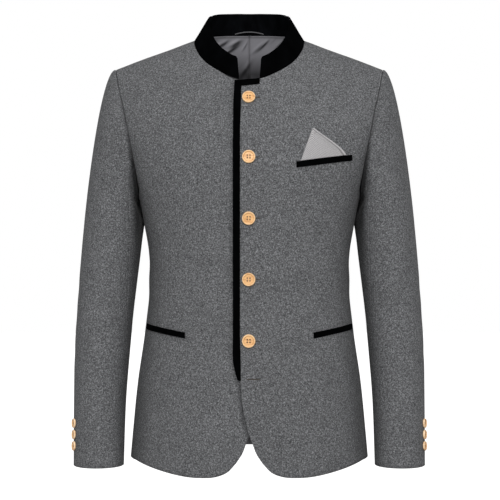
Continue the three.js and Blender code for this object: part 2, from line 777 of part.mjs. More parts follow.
function frontTrims() {
  const edgeX = (z) => readTable(FRONT_EDGE, 'z', 'x', z);
  const strip = patch('front_strip', 1, 22, (u, v) => {
    const z = lerp(STRIP_END_Z, STRIP_TOP_Z, v ** STRIP_ROW_POWER);
    return { x: lerp(edgeX(z), STRIP_WIDTH - LAP_WIDTH, u), z };
  }, FRONT_ROLL, TRIM_LIFT, TRIM_WALL, VELVET);
  const lapTrim = patch('lap_trim', 4, 1, (u, v) => {
    const height = LAP_TRIM.height * (1 - LAP_TRIM.taper * u * u);
    return {
      x: lerp(LAP_TRIM.fromX, LAP_TRIM.toX, u),
      z: LAP_TRIM.topZ + u * LAP_TRIM.rise - (1 - v) * height,
    };
  }, FRONT_ROLL, TRIM_LIFT, TRIM_WALL, VELVET);
  return [strip, lapTrim];
}

function welt(name, size, mirrored) {
  return patch(name, 9, 1, (u, v) => ({
    x: lerp(size.fromX, size.toX, u),
    z: lerp(size.fromZ, size.toZ, u) + (v - 0.5) * WELT_HEIGHT,
  }), FRONT_ROLL, TRIM_LIFT, WELT_WALL, VELVET, mirrored);
}

function pocketSquare() {
  const weltTop = (x) => {
    const share = (x - CHEST_WELT.fromX) / (CHEST_WELT.toX - CHEST_WELT.fromX);
    return lerp(CHEST_WELT.fromZ, CHEST_WELT.toZ, share) + WELT_HEIGHT / 2 + SEAM_GAP;
  };
  return patch('pocket_square', 5, 6, (u, v) => {
    const row = (column) => readTable(POCKET_SQUARE, 'rise', column, v);
    const x = lerp(row('left'), row('right'), u);
    return { x, z: lerp(weltTop(x), weltTop(POCKET_SQUARE[0].left) + SQUARE_HEIGHT, v) };
  }, FRONT_ROLL, TRIM_LIFT, SQUARE_WALL, TWILL);
}

// Lining inside the back of the neck, in two halves with a centre seam
function liningHalf({ label, mirrored }) {
  const lift = -CLOTH_WALL - LINING_GAP - LINING_WALL;
  return patch(`lining_${label}`, 5, 6, (u, v) => {
    const x = lerp(SEAM_GAP / 2, lerp(LINING_HALF.foot, LINING_HALF.top, v), u);
    const top = readTable(BACK_NECKLINE, 'x', 'z', x) - LINING_DROP;
    return { x, z: lerp(LINING_DEPTH_Z, top, v) };
  }, BACK_ROLL, lift, LINING_WALL, SATIN, mirrored);
}

function hangerLoop() {
  const seat = collarPoint(collarHalf, 0).y - COLLAR_WALL - LOOP.radius - SEAM_GAP;
  const points = [];
  for (let k = 0; k <= LOOP.steps; k += 1) {
    const x = lerp(-LOOP.halfSpan, LOOP.halfSpan, k / LOOP.steps);
    const arch = 1 - (x / LOOP.halfSpan) ** 2;
    const y = seat - LOOP.endBack * (1 - arch) - LOOP.lean * arch;
    points.push(new THREE.Vector3(x, y, LOOP.endZ + LOOP.rise * arch));
  }
  const ring = new THREE.Shape();
  ring.absarc(0, 0, LOOP.radius, 0, 2 * Math.PI, false);
  const geometry = new THREE.ExtrudeGeometry(ring, {
    steps: LOOP.steps,
    curveSegments: LOOP.sides,
    bevelEnabled: false,
    extrudePath: new THREE.CatmullRomCurve3(points),
  });
  return mesh('hanger_loop', geometry, SATIN);
}

// Buttons: a turned disc with a raised rim and four sewing holes through it
const wasm = await Module();
wasm.setup();

function toSolid(geometry) {
  const bare = geometry.clone();
  bare.deleteAttribute('normal');
  bare.deleteAttribute('uv');
  const merged = mergeVertices(bare, 1e-4);
  return new wasm.Manifold(new wasm.Mesh({
    numProp: 3,
    vertProperties: new Float32Array(merged.attributes.position.array),
    triVerts: new Uint32Array(merged.index.array),
  }));
}

function fromSolid(solid) {
  const { vertProperties, triVerts } = solid.getMesh();
  const geometry = new THREE.BufferGeometry();
  geometry.setAttribute('position', new THREE.BufferAttribute(vertProperties, 3));
  geometry.setIndex(new THREE.BufferAttribute(triVerts, 1));
  return geometry;
}

// The profile runs from the middle of the underside out over the rim to the dished face
function buttonGeometry({ radius, thick, rim, hole, holeRing, sides }) {
  const dish = thick * 0.7;
  const profile = [
    [0, 0],
    [radius * 0.86, 0],
    [radius, thick * 0.45],
    [radius - rim * 0.4, thick],
    [radius - rim * 1.3, thick],
    [radius - rim * 2.3, dish],
    [0, dish],
  ].map(([x, y]) => new THREE.Vector2(x, y));
  let solid = toSolid(new THREE.LatheGeometry(profile, sides));
  const drill = new THREE.CylinderGeometry(hole, hole, thick * 3, 8);
  for (let k = 0; k < 4; k += 1) {
    const turn = Math.PI / 4 + (k * Math.PI) / 2;
    const bore = drill.clone().translate(holeRing * Math.cos(turn), 0, holeRing * Math.sin(turn));
    solid = solid.subtract(toSolid(bore));
  }
  return fromSolid(solid);
}

function buttonAt(name, geometry, point, normal) {
  const made = mesh(name, geometry, WOOD);
  made.position.copy(point).addScaledVector(normal, BUTTON_LIFT);
  made.quaternion.setFromUnitVectors(new THREE.Vector3(0, 1, 0), normal);
  return made;
}

function frontButtons() {
  const geometry = buttonGeometry(FRONT_BUTTON);
  return Array.from({ length: FRONT_BUTTON_COUNT }, (_, k) => {
    const z = FRONT_BUTTON_TOP_Z - k * FRONT_BUTTON_PITCH;
    const { point, normal } = faceFrame(FRONT_BUTTON_X, z, FRONT_ROLL);
    return buttonAt(`front_button_${k + 1}`, geometry, point, normal);
  });
}

function cuffButtons({ label, mirrored }) {
  const geometry = buttonGeometry(CUFF_BUTTON);
  const angle = radians(CUFF_BUTTON_ANGLE);
  return CUFF_BUTTON_HEIGHTS.map((z, k) => {
    const along = CAP_SHARE + (1 - CAP_SHARE) * ((z - BICEPS_Z) / (CUFF_Z - BICEPS_Z));
    const point = sleevePoint(angle, along);
    const normal = sleeveNormal(angle, along);
    if (mirrored) {
      point.x *= -1;
      normal.x *= -1;
    }
    return buttonAt(`cuff_button_${label}_${k + 1}`, geometry, point, normal);
  });
}

const blazer = new THREE.Group();
for (const side of SIDES) {
  blazer.add(frontPanel(side), sidePanel(side), backPanel(side), ...sleeves(side));
  blazer.add(welt(`hip_welt_${side.label}`, HIP_WELT, side.mirrored));
  blazer.add(liningHalf(side), ...cuffButtons(side));
}
blazer.add(collar(), ...frontTrims(), welt('chest_welt', CHEST_WELT, false));
blazer.add(pocketSquare(), hangerLoop(), ...frontButtons());

export default blazer;
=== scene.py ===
"""The looks of a band-collar blazer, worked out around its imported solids.

Shapes are worked out in millimetres, with +X the wearer's left, -Y the front and +Z up, and are
turned into metres when a mesh is made. A cloth piece is a grid of rows, which run up, and
columns, which run to the right as seen from outside."""

import json
import math
from collections import namedtuple

import bmesh
import bpy
import numpy as np
from bpy.props import FloatProperty, FloatVectorProperty, PointerProperty
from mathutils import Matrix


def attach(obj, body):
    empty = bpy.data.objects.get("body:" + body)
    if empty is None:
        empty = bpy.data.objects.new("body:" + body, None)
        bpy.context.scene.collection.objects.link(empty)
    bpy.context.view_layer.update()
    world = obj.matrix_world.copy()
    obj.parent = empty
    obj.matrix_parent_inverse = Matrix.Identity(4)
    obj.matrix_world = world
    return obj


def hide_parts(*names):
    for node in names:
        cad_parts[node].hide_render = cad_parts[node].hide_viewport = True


bl_info = {
    "name": "Band-collar blazer",
    "version": (1, 0, 0),
    "blender": (4, 5, 0),
    "location": "View3D > Sidebar > Blazer",
    "description": "Cloth, velvet, lining, buttons and stage of a band-collar blazer",
    "category": "Object",
}

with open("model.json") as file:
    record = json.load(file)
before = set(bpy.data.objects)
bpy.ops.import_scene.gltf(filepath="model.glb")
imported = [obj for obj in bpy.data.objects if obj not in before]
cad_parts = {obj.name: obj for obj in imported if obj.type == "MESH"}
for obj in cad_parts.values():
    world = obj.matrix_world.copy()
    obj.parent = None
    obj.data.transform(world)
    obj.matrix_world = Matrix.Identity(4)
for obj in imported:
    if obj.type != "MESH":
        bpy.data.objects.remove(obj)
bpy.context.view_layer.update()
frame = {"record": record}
SLOT_COLOURS = {row["slot"]: row["base_color"] for row in frame["record"]["materials"]}

MM = 0.001
SIDES = (("left", False), ("right", True))


def table(columns, *rows):
    """Rows of numbers as arrays under the names of their columns."""
    return dict(zip(columns.split(), np.array(rows, float).T))


# Cloth walls and gaps
CLOTH_WALL = 2.2
COLLAR_WALL = 3
LINING_WALL = 1
TRIM_WALL = 1.4
WELT_WALL = 1.6
SEAM_GAP = 0.34
LINING_GAP = 1.3
TRIM_LIFT = 0.7

# Body sections are superellipses, and above the chest each face rolls back to the shoulder
SECTION_POWER = 2.4
BODY_SECTIONS = table(
    "z half front back",
    (-720, 198, 141, 134),
    (-640, 191, 138, 132),
    (-560, 183, 133, 128),
    (-480, 171.5, 128, 122),
    (-410, 164.5, 124, 116),
    (-345, 165.5, 122, 112),
    (-312, 171, 122, 113),
    (-262, 181, 124, 117),
    (-220, 194, 124, 120),
    (-158, 216, 120, 121),
    (-92, 232, 112, 118),
    (-48, 245, 104, 112),
    (30, 252, 96, 102),
)
Roll = namedtuple("Roll", "start power nape_rise toward depth")
FRONT_ROLL = Roll(start=-220, power=1.6, nape_rise=0, toward=-1, depth="front")
BACK_ROLL = Roll(start=-180, power=1.8, nape_rise=52, toward=1, depth="back")
HEIGHT_RATE = 400
NECK_HALF = 91
SHOULDER_X = 220
SHOULDER_LINE = table("x z", (0, 18), (50, 12), (91, 0), (131, -15), (177, -31.4), (220, -48))

# Edges of the fronts and backs
LAP_WIDTH = 25
FRONT_EDGE = table(
    "z x",
    (-679, 21), (-664, 11), (-648, 5), (-633, -1), (-611, -6.5), (-580, -12), (-553, -14),
    (-549, -17.5), (-536, -21.5), (-518, -25), (-480, -25), (-124, -25), (-82, -23.3),
    (-72.2, -22.8),
)
FRONT_HEM = table(
    "x z",
    (21, -679), (34, -692.5), (50, -699.5), (68, -702), (102, -701), (150, -692), (200, -678.5),
)
FRONT_NECKLINE = [
    (-22.8, -72.2), (-12, -72), (0, -71.4), (17, -69.2), (33, -63.6), (46, -57), (59, -49.2),
    (72, -38.6), (82, -26), (88, -13.5), (91, 0),
]
BACK_NECKLINE = table("x z", (0, 16.5), (30, 16), (60, 13), (80, 7.5), (91, 0))
BACK_HEM_Z = -682
SEAM_HEM_Z = -688
FRONT_SEAM = table(
    "z share", (-700, 0.94), (-560, 0.955), (-480, 0.97), (-345, 0.975), (-250, 0.97)
)
BACK_SEAM = table(
    "z share", (-700, 0.86), (-480, 0.87), (-345, 0.88), (-262, 0.91), (-215, 0.939)
)
FRONT_ARMHOLE = [
    (178, -250), (182, -228), (188, -193), (195, -158), (203, -120), (211, -88), (220, -48),
]
BACK_ARMHOLE = [(184, -215), (190, -180), (198, -140), (207, -100), (214, -72), (220, -48)]
UNDERARM = table("across z", (0, -250), (0.25, -259), (0.5, -262), (0.75, -247), (1, -215))

# Sleeves, from the cuff up
SLEEVE_RINGS = table(
    "z x y half_width half_depth",
    (-693.5, 244.2, -43, 40.6, 46),
    (-592, 243.6, -27, 42.4, 48.5),
    (-510, 240.9, -14, 45.2, 51.5),
    (-427, 235.2, -5, 47, 54.5),
    (-345, 227.4, -1, 48.6, 57),
    (-300, 223.5, 0, 48.4, 58),
)
CUFF_Z = -693.5
BICEPS_Z = -300
CAP_SHARE = 0.4
ARMHOLE_GAP = 0.35
CAP_LIFT_OUT = (6, 21)
CAP_LIFT_UP = (-14, 3)
CAP_SETTLE = 0.37
UNDERARM_EASE = {"angle": 222, "along": 0.35, "depth": 13, "wide": 0.13, "long": 0.36}
ARMHOLE_VALLEY = {"angle": 140, "along": 0.1, "depth": -7, "wide": 0.09, "long": 0.4}
ARM_RADIUS = 50
# Painted shade in the fold between sleeve and body, by height z: its strength, even core and wide
# bell.
SLEEVE_SHADE = table(
    "z strength core wide",
    (-693, 0.34, 0, 9),
    (-560, 0.42, 0, 10),
    (-400, 0.52, 0, 10),
    (-330, 0.72, 3, 9),
    (-300, 0.88, 6, 7),
    (-262, 0.94, 7, 6),
    (-240, 0.94, 6, 5),
    (-206, 0.85, 3, 4),
    (-165, 0.55, 1, 4),
    (-130, 0.3, 0, 5),
    (-90, 0.15, 0, 5),
    (-50, 0, 0, 5),
)
REAR_SEAM = table("along angle", (0, -75), (0.4, -60), (0.75, -18), (1, 8))
INNER_SEAM = table("along angle", (0, 120), (0.4, 128), (1, 178))
SLEEVE_FOLDS = table(
    "angle z slope depth wide long",
    (60, -392, 0.35, 1.6, 14, 0.9),
    (110, -440, -0.3, 2.2, 16, 1.0),
    (-40, -470, 0.4, 1.4, 18, 0.8),
    (75, -338, 0.5, 0.8, 9, 0.5),
    (25, -520, -0.4, 0.7, 12, 0.6),
    (-120, -420, 0.3, 1.3, 13, 0.7),
    (-95, -365, -0.4, 0.9, 10, 0.5),
)

# Band collar
COLLAR_END_X = 16.5
COLLAR_SEAT = -0.6
COLLAR_BULGE = 0.4
COLLAR_CORNER = 3.5
COLLAR_RISE = table(
    "around inward back up",
    (0, -3, 8, 37),
    (0.15, 10, 9, 34.5),
    (0.3, 19.7, 9, 33.6),
    (0.45, 23.6, 7, 36.1),
    (0.6, 22.4, 0, 38),
    (0.8, 12.6, -9, 36.1),
    (1, 0, -11, 35.7),
)

# Trims, pocket square and lining
STRIP_WIDTH = 10.4
STRIP_TOP_Z = -72.7
STRIP_END_Z = -550
STRIP_WRAP = 0.7
STRIP_FLARE = 1.4
STRIP_LEAN = 1.8
LAP_TRIM = {
    "from_x": -12.9, "to_x": 16.8, "height": 10.3, "top_z": -72.4, "rise": 2.7, "taper": 0.05,
}
WELT_HEIGHT = 9.4
WELT_EASE = 1.08
HIP_WELT = {"x": (101, 165), "z": (-480, -468.8)}
CHEST_WELT = {"x": (74, 163.5), "z": (-210.5, -197.5)}
POCKET_SQUARE = table(
    "rise left right",
    (0, 81, 154), (0.12, 83.3, 151), (0.28, 86.3, 145.5), (0.6, 92.4, 128.5),
    (0.88, 97.7, 110.5), (1, 100, 103),
)
SQUARE_HEIGHT = 52.3
LINING_DEPTH_Z = -150
LINING_HALF = (82, 74)
LINING_DROP = 1
LINING_TUCK = 2.6
# Painted shade lies on one side of each lining crease, moved aside by this share of its width.
CREASE_SHADE = 0.9
LINING_CREASES = table(
    "x z slope depth wide long",
    (-24, 7, 0.5, 3.6, 2.8, 15),
    (-33, -3, 0.55, 3.2, 2.8, 15),
    (-44, 6, 0.7, 2.8, 2.2, 9),
    (-52, 3, 0.7, 2.2, 2.0, 8),
    (-60, 10, 0.6, 2.2, 2.0, 8),
    (-8, 2, 1.5, 1.4, 1.6, 8),
    (16, 0, 0.8, 1.6, 2.2, 12),
    (27, 5, 0.8, 3.0, 2.0, 14),
    (46, 12, 0.7, 2.0, 1.8, 8),
    (54, 4, 0.6, 1.6, 1.8, 8),
    (-9, -36, 1.3, 2.4, 3.4, 16),
    (10, -62, -1.6, 2.4, 3.6, 20),
    (-14, -84, 0.9, 2.2, 3.8, 18),
    (24, -76, -1.1, 2.0, 3.6, 20),
)

# Buttons and buttonholes
FRONT_BUTTON_X = -1
FRONT_BUTTON_Z = [-102 - 96.5 * step for step in range(5)]
LOWEST_HOLE_Z = -547.7
BUTTONHOLE_X = (-5, 17.2)
CUFF_BUTTON_Z = (-625, -643, -661)
CUFF_BUTTON_ANGLE = math.radians(25)
BUTTON_LIFT = 0.4

# Fine shape of the sewn cloth
SEAM_TURN = 0.35
SEAM_OVERLAP = 0.05
EDGE_TURN = 0.8
DART_TOP = (108.5, -376)
DART_FOOT = (104.5, -434)
DART_DEPTH = 0.45

# The photograph's frame: a level camera far from the garment
FOCAL_PX = 1575.8
FRAME_PX = 500
MIDDLE_PX = 249.3
CAMERA_DISTANCE = 2.6
CAMERA_Z = -0.345


def lerp(low, high, share):
    """The value at a share of the way from low to high."""
    return low + (high - low) * share


def smooth(share):
    """A share that starts and ends level: three squares less two cubes of it."""
    held = np.clip(share, 0, 1)
    return held * held * (3 - 2 * held)


def unit(vectors):
    """Vectors divided by their length."""
    return vectors / np.maximum(np.linalg.norm(vectors, axis=-1, keepdims=True), 1e-9)


def bell(off, wide):
    """A bell of height 1 over a distance, with the given half width."""
    return np.exp(-((off / wide) ** 2))


def cubic(t, low, leave, high, arrive):
    """The cubic that goes from low to high and has the given slopes at its two ends."""
    t2, t3 = t * t, t * t * t
    return (
        (2 * t3 - 3 * t2 + 1) * low
        + (t3 - 2 * t2 + t) * leave
        + (3 * t2 - 2 * t3) * high
        + (t3 - t2) * arrive
    )


def length_along(points):
    """The length of a line up to each of its points."""
    steps = np.linalg.norm(np.diff(points, axis=0), axis=1)
    return np.concatenate([[0], np.cumsum(steps)])


def read_table(rows, by, column, at):
    """A column as a smooth curve of another: between two rows it is the cubic whose slope at each
    row is that of the line from the row before to the row after."""
    knots, values = rows[by], rows[column]
    before = np.maximum(np.arange(len(knots)) - 1, 0)
    after = np.minimum(np.arange(len(knots)) + 1, len(knots) - 1)
    slopes = (values[after] - values[before]) / (knots[after] - knots[before])
    at = np.asarray(at, float)
    low = np.clip(np.searchsorted(knots, at, side="left") - 1, 0, len(knots) - 2)
    span = knots[low + 1] - knots[low]
    share = np.clip((at - knots[low]) / span, 0, 1)
    return cubic(
        share, values[low], span * slopes[low], values[low + 1], span * slopes[low + 1]
    )


def smooth_curve(points, closed=False, steps=48):
    """A function from a share of the length to a place on the curve through the points. Between
    two points it is a cubic whose end slopes weigh the neighbours by the square roots of their
    distances."""
    points = np.asarray(points, float)
    if closed:
        ring = np.concatenate([points[-1:], points, points[:2]])
    else:
        first = 2 * points[:1] - points[1:2]
        last = 2 * points[-1:] - points[-2:-1]
        ring = np.concatenate([first, points, last])
    p0, p1, p2, p3 = ring[:-3], ring[1:-2], ring[2:-1], ring[3:]
    d0, d1, d2 = (
        np.sqrt(np.maximum(np.linalg.norm(b - a, axis=1, keepdims=True), 1e-4))
        for a, b in ((p0, p1), (p1, p2), (p2, p3))
    )
    leave = ((p1 - p0) / d0 - (p2 - p0) / (d0 + d1) + (p2 - p1) / d1) * d1
    arrive = ((p2 - p1) / d1 - (p3 - p1) / (d1 + d2) + (p3 - p2) / d2) * d1
    t = np.linspace(0, 1, steps, endpoint=False)[None, :, None]
    track = cubic(t, p1[:, None], leave[:, None], p2[:, None], arrive[:, None])
    track = np.concatenate([track.reshape(-1, points.shape[1]), p2[-1:]])
    run = length_along(track)
    shares = run / run[-1]
    return lambda share: np.stack([np.interp(share, shares, line) for line in track.T], -1)


neck_curve = smooth_curve(FRONT_NECKLINE)
front_arm_curve = smooth_curve(FRONT_ARMHOLE)
back_arm_curve = smooth_curve(BACK_ARMHOLE)


def half_width_at(z):
    """Half the body's width at a height."""
    return read_table(BODY_SECTIONS, "z", "half", z)


def seam_top(x, roll):
    """Height of the shoulder seam, or of the nape above it, over a place across the body."""
    inside = np.maximum(0, 1 - (x / NECK_HALF) ** 2)
    across = np.minimum(np.abs(x), SHOULDER_X)
    return read_table(SHOULDER_LINE, "x", "z", across) + roll.nape_rise * inside**1.5


def height_of(x, z, roll):
    """The height parameter: 1 on the shoulder seam, 0 where the roll starts, negative below."""
    share = (z - roll.start) / (seam_top(x, roll) - roll.start)
    rolled = 1 - np.sqrt(np.maximum(0, 1 - share))
    return np.where(z <= roll.start, (z - roll.start) / HEIGHT_RATE, rolled)


def body_point(x, height, roll):
    """A place on a face of the body. Its depth is the section's depth there, times a superellipse
    across the body, times another up the roll to the shoulder."""
    climb = np.where(height > 0, height * (2 - height), 0)
    below = roll.start + height * HEIGHT_RATE
    z = np.where(height > 0, roll.start + (seam_top(x, roll) - roll.start) * climb, below)
    share = np.minimum(1, np.abs(x) / half_width_at(z))
    across = (1 - share**SECTION_POWER) ** (1 / SECTION_POWER)
    rolled = (1 - np.minimum(1, climb) ** roll.power) ** (1 / roll.power)
    depth = read_table(BODY_SECTIONS, "z", roll.depth, z)
    return np.stack([x, roll.toward * depth * across * rolled, z], -1)


def body_normal(x, height, roll):
    """The way out of a face, square to short steps across it and up it."""
    step, aside = 0.004, 0.5
    up = np.minimum(1, height + step)
    rise = body_point(x, up, roll) - body_point(x, up - 2 * step, roll)
    across = body_point(x + aside, height, roll) - body_point(x - aside, height, roll)
    return -roll.toward * unit(np.cross(across, rise))


def on_face(x, z, roll, lift):
    """Places at x and z moved out from a face by a distance."""
    x, z = np.broadcast_arrays(np.asarray(x, float), np.asarray(z, float))
    height = height_of(x, z, roll)
    return body_point(x, height, roll) + lift * body_normal(x, height, roll)


def section_point(angle, z):
    """A place on the body's section at an angle from its side, with front angles negative."""
    power = 2 / SECTION_POWER
    front = read_table(BODY_SECTIONS, "z", "front", z)
    back = read_table(BODY_SECTIONS, "z", "back", z)
    depth = np.where(angle < 0, -front, back)
    x = half_width_at(z) * np.cos(angle) ** power
    return np.stack([x, depth * np.abs(np.sin(angle)) ** power, z], -1)


def section_normal(angle, z):
    """The way out of the section."""
    step = 0.01
    turn = section_point(angle + step, z) - section_point(angle - step, z)
    rise = section_point(angle, z + 1) - section_point(angle, z - 1)
    return unit(np.cross(turn, rise))


def seam_angle(seam, z):
    """The angle of a side seam, from its share of the half width."""
    return np.arccos(read_table(seam, "z", "share", z) ** (SECTION_POWER / 2))


def draw_in(grid, amount, first=True, last=True, bottom=True, top=True):
    """Moves the chosen outer columns and rows of a grid towards their neighbours."""
    moved = grid.copy()
    if first:
        moved[:, 0] += amount * unit(grid[:, 1] - grid[:, 0])
    if last:
        moved[:, -1] += amount * unit(grid[:, -2] - grid[:, -1])
    if bottom:
        moved[0] += amount * unit(grid[1] - grid[0])
    if top:
        moved[-1] += amount * unit(grid[-2] - grid[-1])
    return moved


def cloth_mesh(name, outer, inner, turn=EDGE_TURN, seams="", tone=None):
    """A closed cloth wall between two grids. Both faces stop short of the edge, and a line midway
    between them runs along it, so that the edge is a rounded turn. Edges named in seams turn
    within the seam's own width. The inner face is material 1. A tone, 0 to 1, is kept with the
    points, and the cloth's finish darkens by it: painted shade, and on the lining a darker seam."""
    edges = ("first", "last", "bottom", "top")
    sewn = {edge: edge in seams for edge in edges}
    free = {edge: edge not in seams for edge in edges}
    rim = (outer + inner) / 2
    outer, inner = (
        draw_in(draw_in(grid, SEAM_TURN, **sewn), turn, **free) for grid in (outer, inner)
    )
    rows, columns = outer.shape[:2]
    index = np.arange(rows * columns).reshape(rows, columns)
    loop = np.concatenate(
        [index[0, :-1], index[:-1, -1], index[-1, :0:-1], index[:0:-1, 0]]
    )
    ahead = np.roll(loop, -1)
    count = rows * columns
    middle = 2 * count + np.arange(len(loop))
    middle_ahead = np.roll(middle, -1)
    cells = (index[:-1, :-1], index[:-1, 1:], index[1:, 1:], index[1:, :-1])
    face = np.stack([corner.ravel() for corner in cells], -1)
    inside = face[:, ::-1] + count
    outer_turn = np.stack([middle, middle_ahead, ahead, loop], -1)
    inner_turn = np.stack([loop + count, ahead + count, middle_ahead, middle], -1)
    verts = np.concatenate([outer.reshape(-1, 3), inner.reshape(-1, 3), rim.reshape(-1, 3)[loop]])
    faces = np.concatenate([face, outer_turn, inner_turn, inside])
    inner_count = len(inside)
    run = [
        np.cumsum(np.linalg.norm(np.diff(outer, axis=axis, prepend=edge), axis=-1), axis)
        for axis, edge in ((1, outer[:, :1]), (0, outer[:1]))
    ]
    flat = np.stack([r.ravel() for r in run], -1)
    flat = np.concatenate([flat, flat, flat[loop]])
    made = mesh_object(name, verts, faces, flat)
    if tone is not None:
        tone = tone.ravel()
        keep_tone_and_shade(made, np.concatenate([tone, tone, tone[loop]]))
    made.data.polygons.foreach_set(
        "material_index",
        np.repeat([0, 1], [len(faces) - inner_count, inner_count]).astype(np.int32),
    )
    return made


def mesh_object(name, verts, faces, flat=None):
    """A smooth mesh object from points in millimetres and faces of equal size, with places on the
    flat cloth as its UV map, in metres."""
    data = bpy.data.meshes.new(name)
    sides = faces.shape[1]
    data.vertices.add(len(verts))
    data.vertices.foreach_set("co", (verts * MM).astype(np.float32).ravel())
    data.loops.add(faces.size)
    data.loops.foreach_set("vertex_index", faces.astype(np.int32).ravel())
    data.polygons.add(len(faces))
    data.polygons.foreach_set("loop_start", np.arange(0, faces.size, sides, dtype=np.int32))
    data.polygons.foreach_set("use_smooth", np.ones(len(faces), bool))
    data.update(calc_edges=True)
    if flat is not None:
        cloth = data.uv_layers.new(name="cloth")
        cloth.data.foreach_set("uv", (flat[faces.ravel()] * MM).astype(np.float32).ravel())
    data.validate()
    made = bpy.data.objects.new(name, data)
    bpy.context.scene.collection.objects.link(made)
    return made


def keep_tone_and_shade(made, tone):
    """Keeps a tone for each point of a mesh, as an attribute that its finish reads. On cloth it is
    mostly painted shade; on a button it is the wood's tone with a painted highlight and shade.
    """
    kept = made.data.attributes.new("tone", "FLOAT", "POINT")
    kept.data.foreach_set("value", tone.astype(np.float32).ravel())


def mirrored_grids(grids, mirrored):
    """The grids, or their reflections with the columns the other way round, so that the faces
    still point out."""
    if not mirrored:
        return grids
    return [grid[:, ::-1] * np.array([-1, 1, 1]) for grid in grids]


def turned(grid, mirrored):
    """A grid, with its columns the other way round on the mirrored side."""
    return grid[:, ::-1] if mirrored else grid


def swap_ends(seams, mirrored):
    """The names of the sewn edges once the columns run the other way."""
    if not mirrored:
        return seams
    return seams.replace("first", "one").replace("last", "first").replace("one", "last")


def add_piece(made, slot, finishes, replaces=(), flat=None, **sheet):
    """Gives a piece its finishes and its place in the frame, and hides the solids that it
    replaces.
    """
    for finish in finishes:
        made.data.materials.append(finish)
    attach(made, "root")
    if replaces:
        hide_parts(*replaces)


def face_grids(x, height, roll, inset=0.0, relief=0.0):
    """Outer and inner grids of a cloth wall on a face. Both sink by the inset, and the outer one
    rises by the relief."""
    point = body_point(x, height, roll)
    normal = body_normal(x, height, roll)
    sunk = point - normal * np.asarray(inset)[..., None]
    return [sunk + normal * np.asarray(relief)[..., None], sunk - CLOTH_WALL * normal]


def panel_place(u, v, inner_edge, outer_edge, hem_height, roll):
    """Where a panel's grid lies: on the line between its two edges, and down to its hem."""
    inner, outer = inner_edge(v), outer_edge(v)
    x = lerp(inner[:, :1], outer[:, :1], u[None])
    level = height_of(inner[:, 0], inner[:, 1], roll)
    outer_level = height_of(outer[:, 0], outer[:, 1], roll)
    height = lerp(level[:, None], outer_level[:, None], u[None])
    hem_x = x[0]
    hem_level = lerp(level[0], outer_level[0], u)
    sag = height_of(hem_x, hem_height(hem_x), roll) - hem_level
    height = height + (1 - v[:, None]) ** 2 * sag[None]
    return x, np.minimum(1, height)


FRONT_ROWS = 25
FRONT_UNDERARM_ROW = 13
FRONT_NECK_ROW = 16
FRONT_FINE = 6
FRONT_COLUMNS = 120
EDGE_CROWDING = 0.085


def front_inner_edge(v):
    """The front edge up to the neck's corner, then the neckline up to the shoulder."""
    start = FRONT_NECK_ROW / FRONT_ROWS
    z = lerp(FRONT_EDGE["z"][0], FRONT_EDGE["z"][-1], np.minimum(1, v / start))
    edge = np.stack([read_table(FRONT_EDGE, "z", "x", z), z], -1)
    neck = neck_curve((v - start) / (1 - start))
    return np.where(v[:, None] <= start, edge, neck)


def seam_x(seam, z):
    """Distance of a side seam from the middle, from its share of the half width."""
    return read_table(seam, "z", "share", z) * half_width_at(z)


def front_hem_z(x):
    """Height of the front's hem."""
    return read_table(FRONT_HEM, "x", "z", x)


def front_outer_edge(v):
    """The side seam up to the armhole, then the armhole up to the shoulder."""
    start = FRONT_UNDERARM_ROW / FRONT_ROWS
    hem_z = front_hem_z(seam_x(FRONT_SEAM, SEAM_HEM_Z))
    z = lerp(hem_z, FRONT_ARMHOLE[0][1], np.minimum(1, v / start))
    side = np.stack([seam_x(FRONT_SEAM, z), z], -1)
    arm = front_arm_curve((v - start) / (1 - start))
    return np.where(v[:, None] <= start, side, arm)


# Painted shade over the side panels and towards the side seams.
SIDE_SHADE = 0.36
LAP_STEP = {"depth": CLOTH_WALL + 1.4, "start_x": LAP_WIDTH + 28, "width": 22}
LAP_VALLEY = {"depth": 2.6, "wide": 5.5, "from_z": -540, "fade": 45}


def lap_edge_x(z):
    """Distance of the lap's edge from the middle, on the under front's side of it."""
    return -read_table(FRONT_EDGE, "z", "x", z)


def lap_inset(x, z):
    """How far the under front steps in below the lap, with a valley along the lap's edge in the
    part that the strip leaves bare."""
    step = LAP_STEP["depth"] * smooth((LAP_STEP["start_x"] - x) / LAP_STEP["width"])
    fade = smooth((LAP_VALLEY["from_z"] - z) / LAP_VALLEY["fade"])
    return step + LAP_VALLEY["depth"] * bell(x - lap_edge_x(z), LAP_VALLEY["wide"]) * fade


def side_painted_shade(seam, x, z):
    """The soft painted shade towards a side seam, below the underarm."""
    return SIDE_SHADE * bell(seam_x(seam, z) - x, 16) * smooth((-225 - z) / 60)


def armhole_x(z):
    """Distance of the front's armhole seam from the middle."""
    return np.interp(z, *np.array(FRONT_ARMHOLE).T[::-1])


def front_painted_shade(x, z, mirrored):
    """The front's soft painted shade: a bell of the distance to the lap's edge and the strip, to
    the armhole and to the side seam."""
    low = smooth((-225 - z) / 60)
    tone = side_painted_shade(FRONT_SEAM, x, z)
    tone = tone + 0.3 * bell(armhole_x(z) - x, 9) * smooth((-120 - z) / 80) * (1 - low)
    if mirrored:
        bare = smooth((-535 - z) / 30)
        off = x - lap_edge_x(z) - 1.5
        tone = tone + lerp(0.2, 0.42, bare) * bell(off, lerp(4.5, 4.2, bare))
    return tone


def dart_relief(x, z):
    """The shallow pressed line of the front dart: a narrow bell across it, faded at its ends."""
    share = (z - DART_FOOT[1]) / (DART_TOP[1] - DART_FOOT[1])
    aside = x - lerp(DART_FOOT[0], DART_TOP[0], share)
    fade = smooth(share * 4) * smooth((1 - share) * 4)
    return -DART_DEPTH * bell(aside, 1.8) * fade


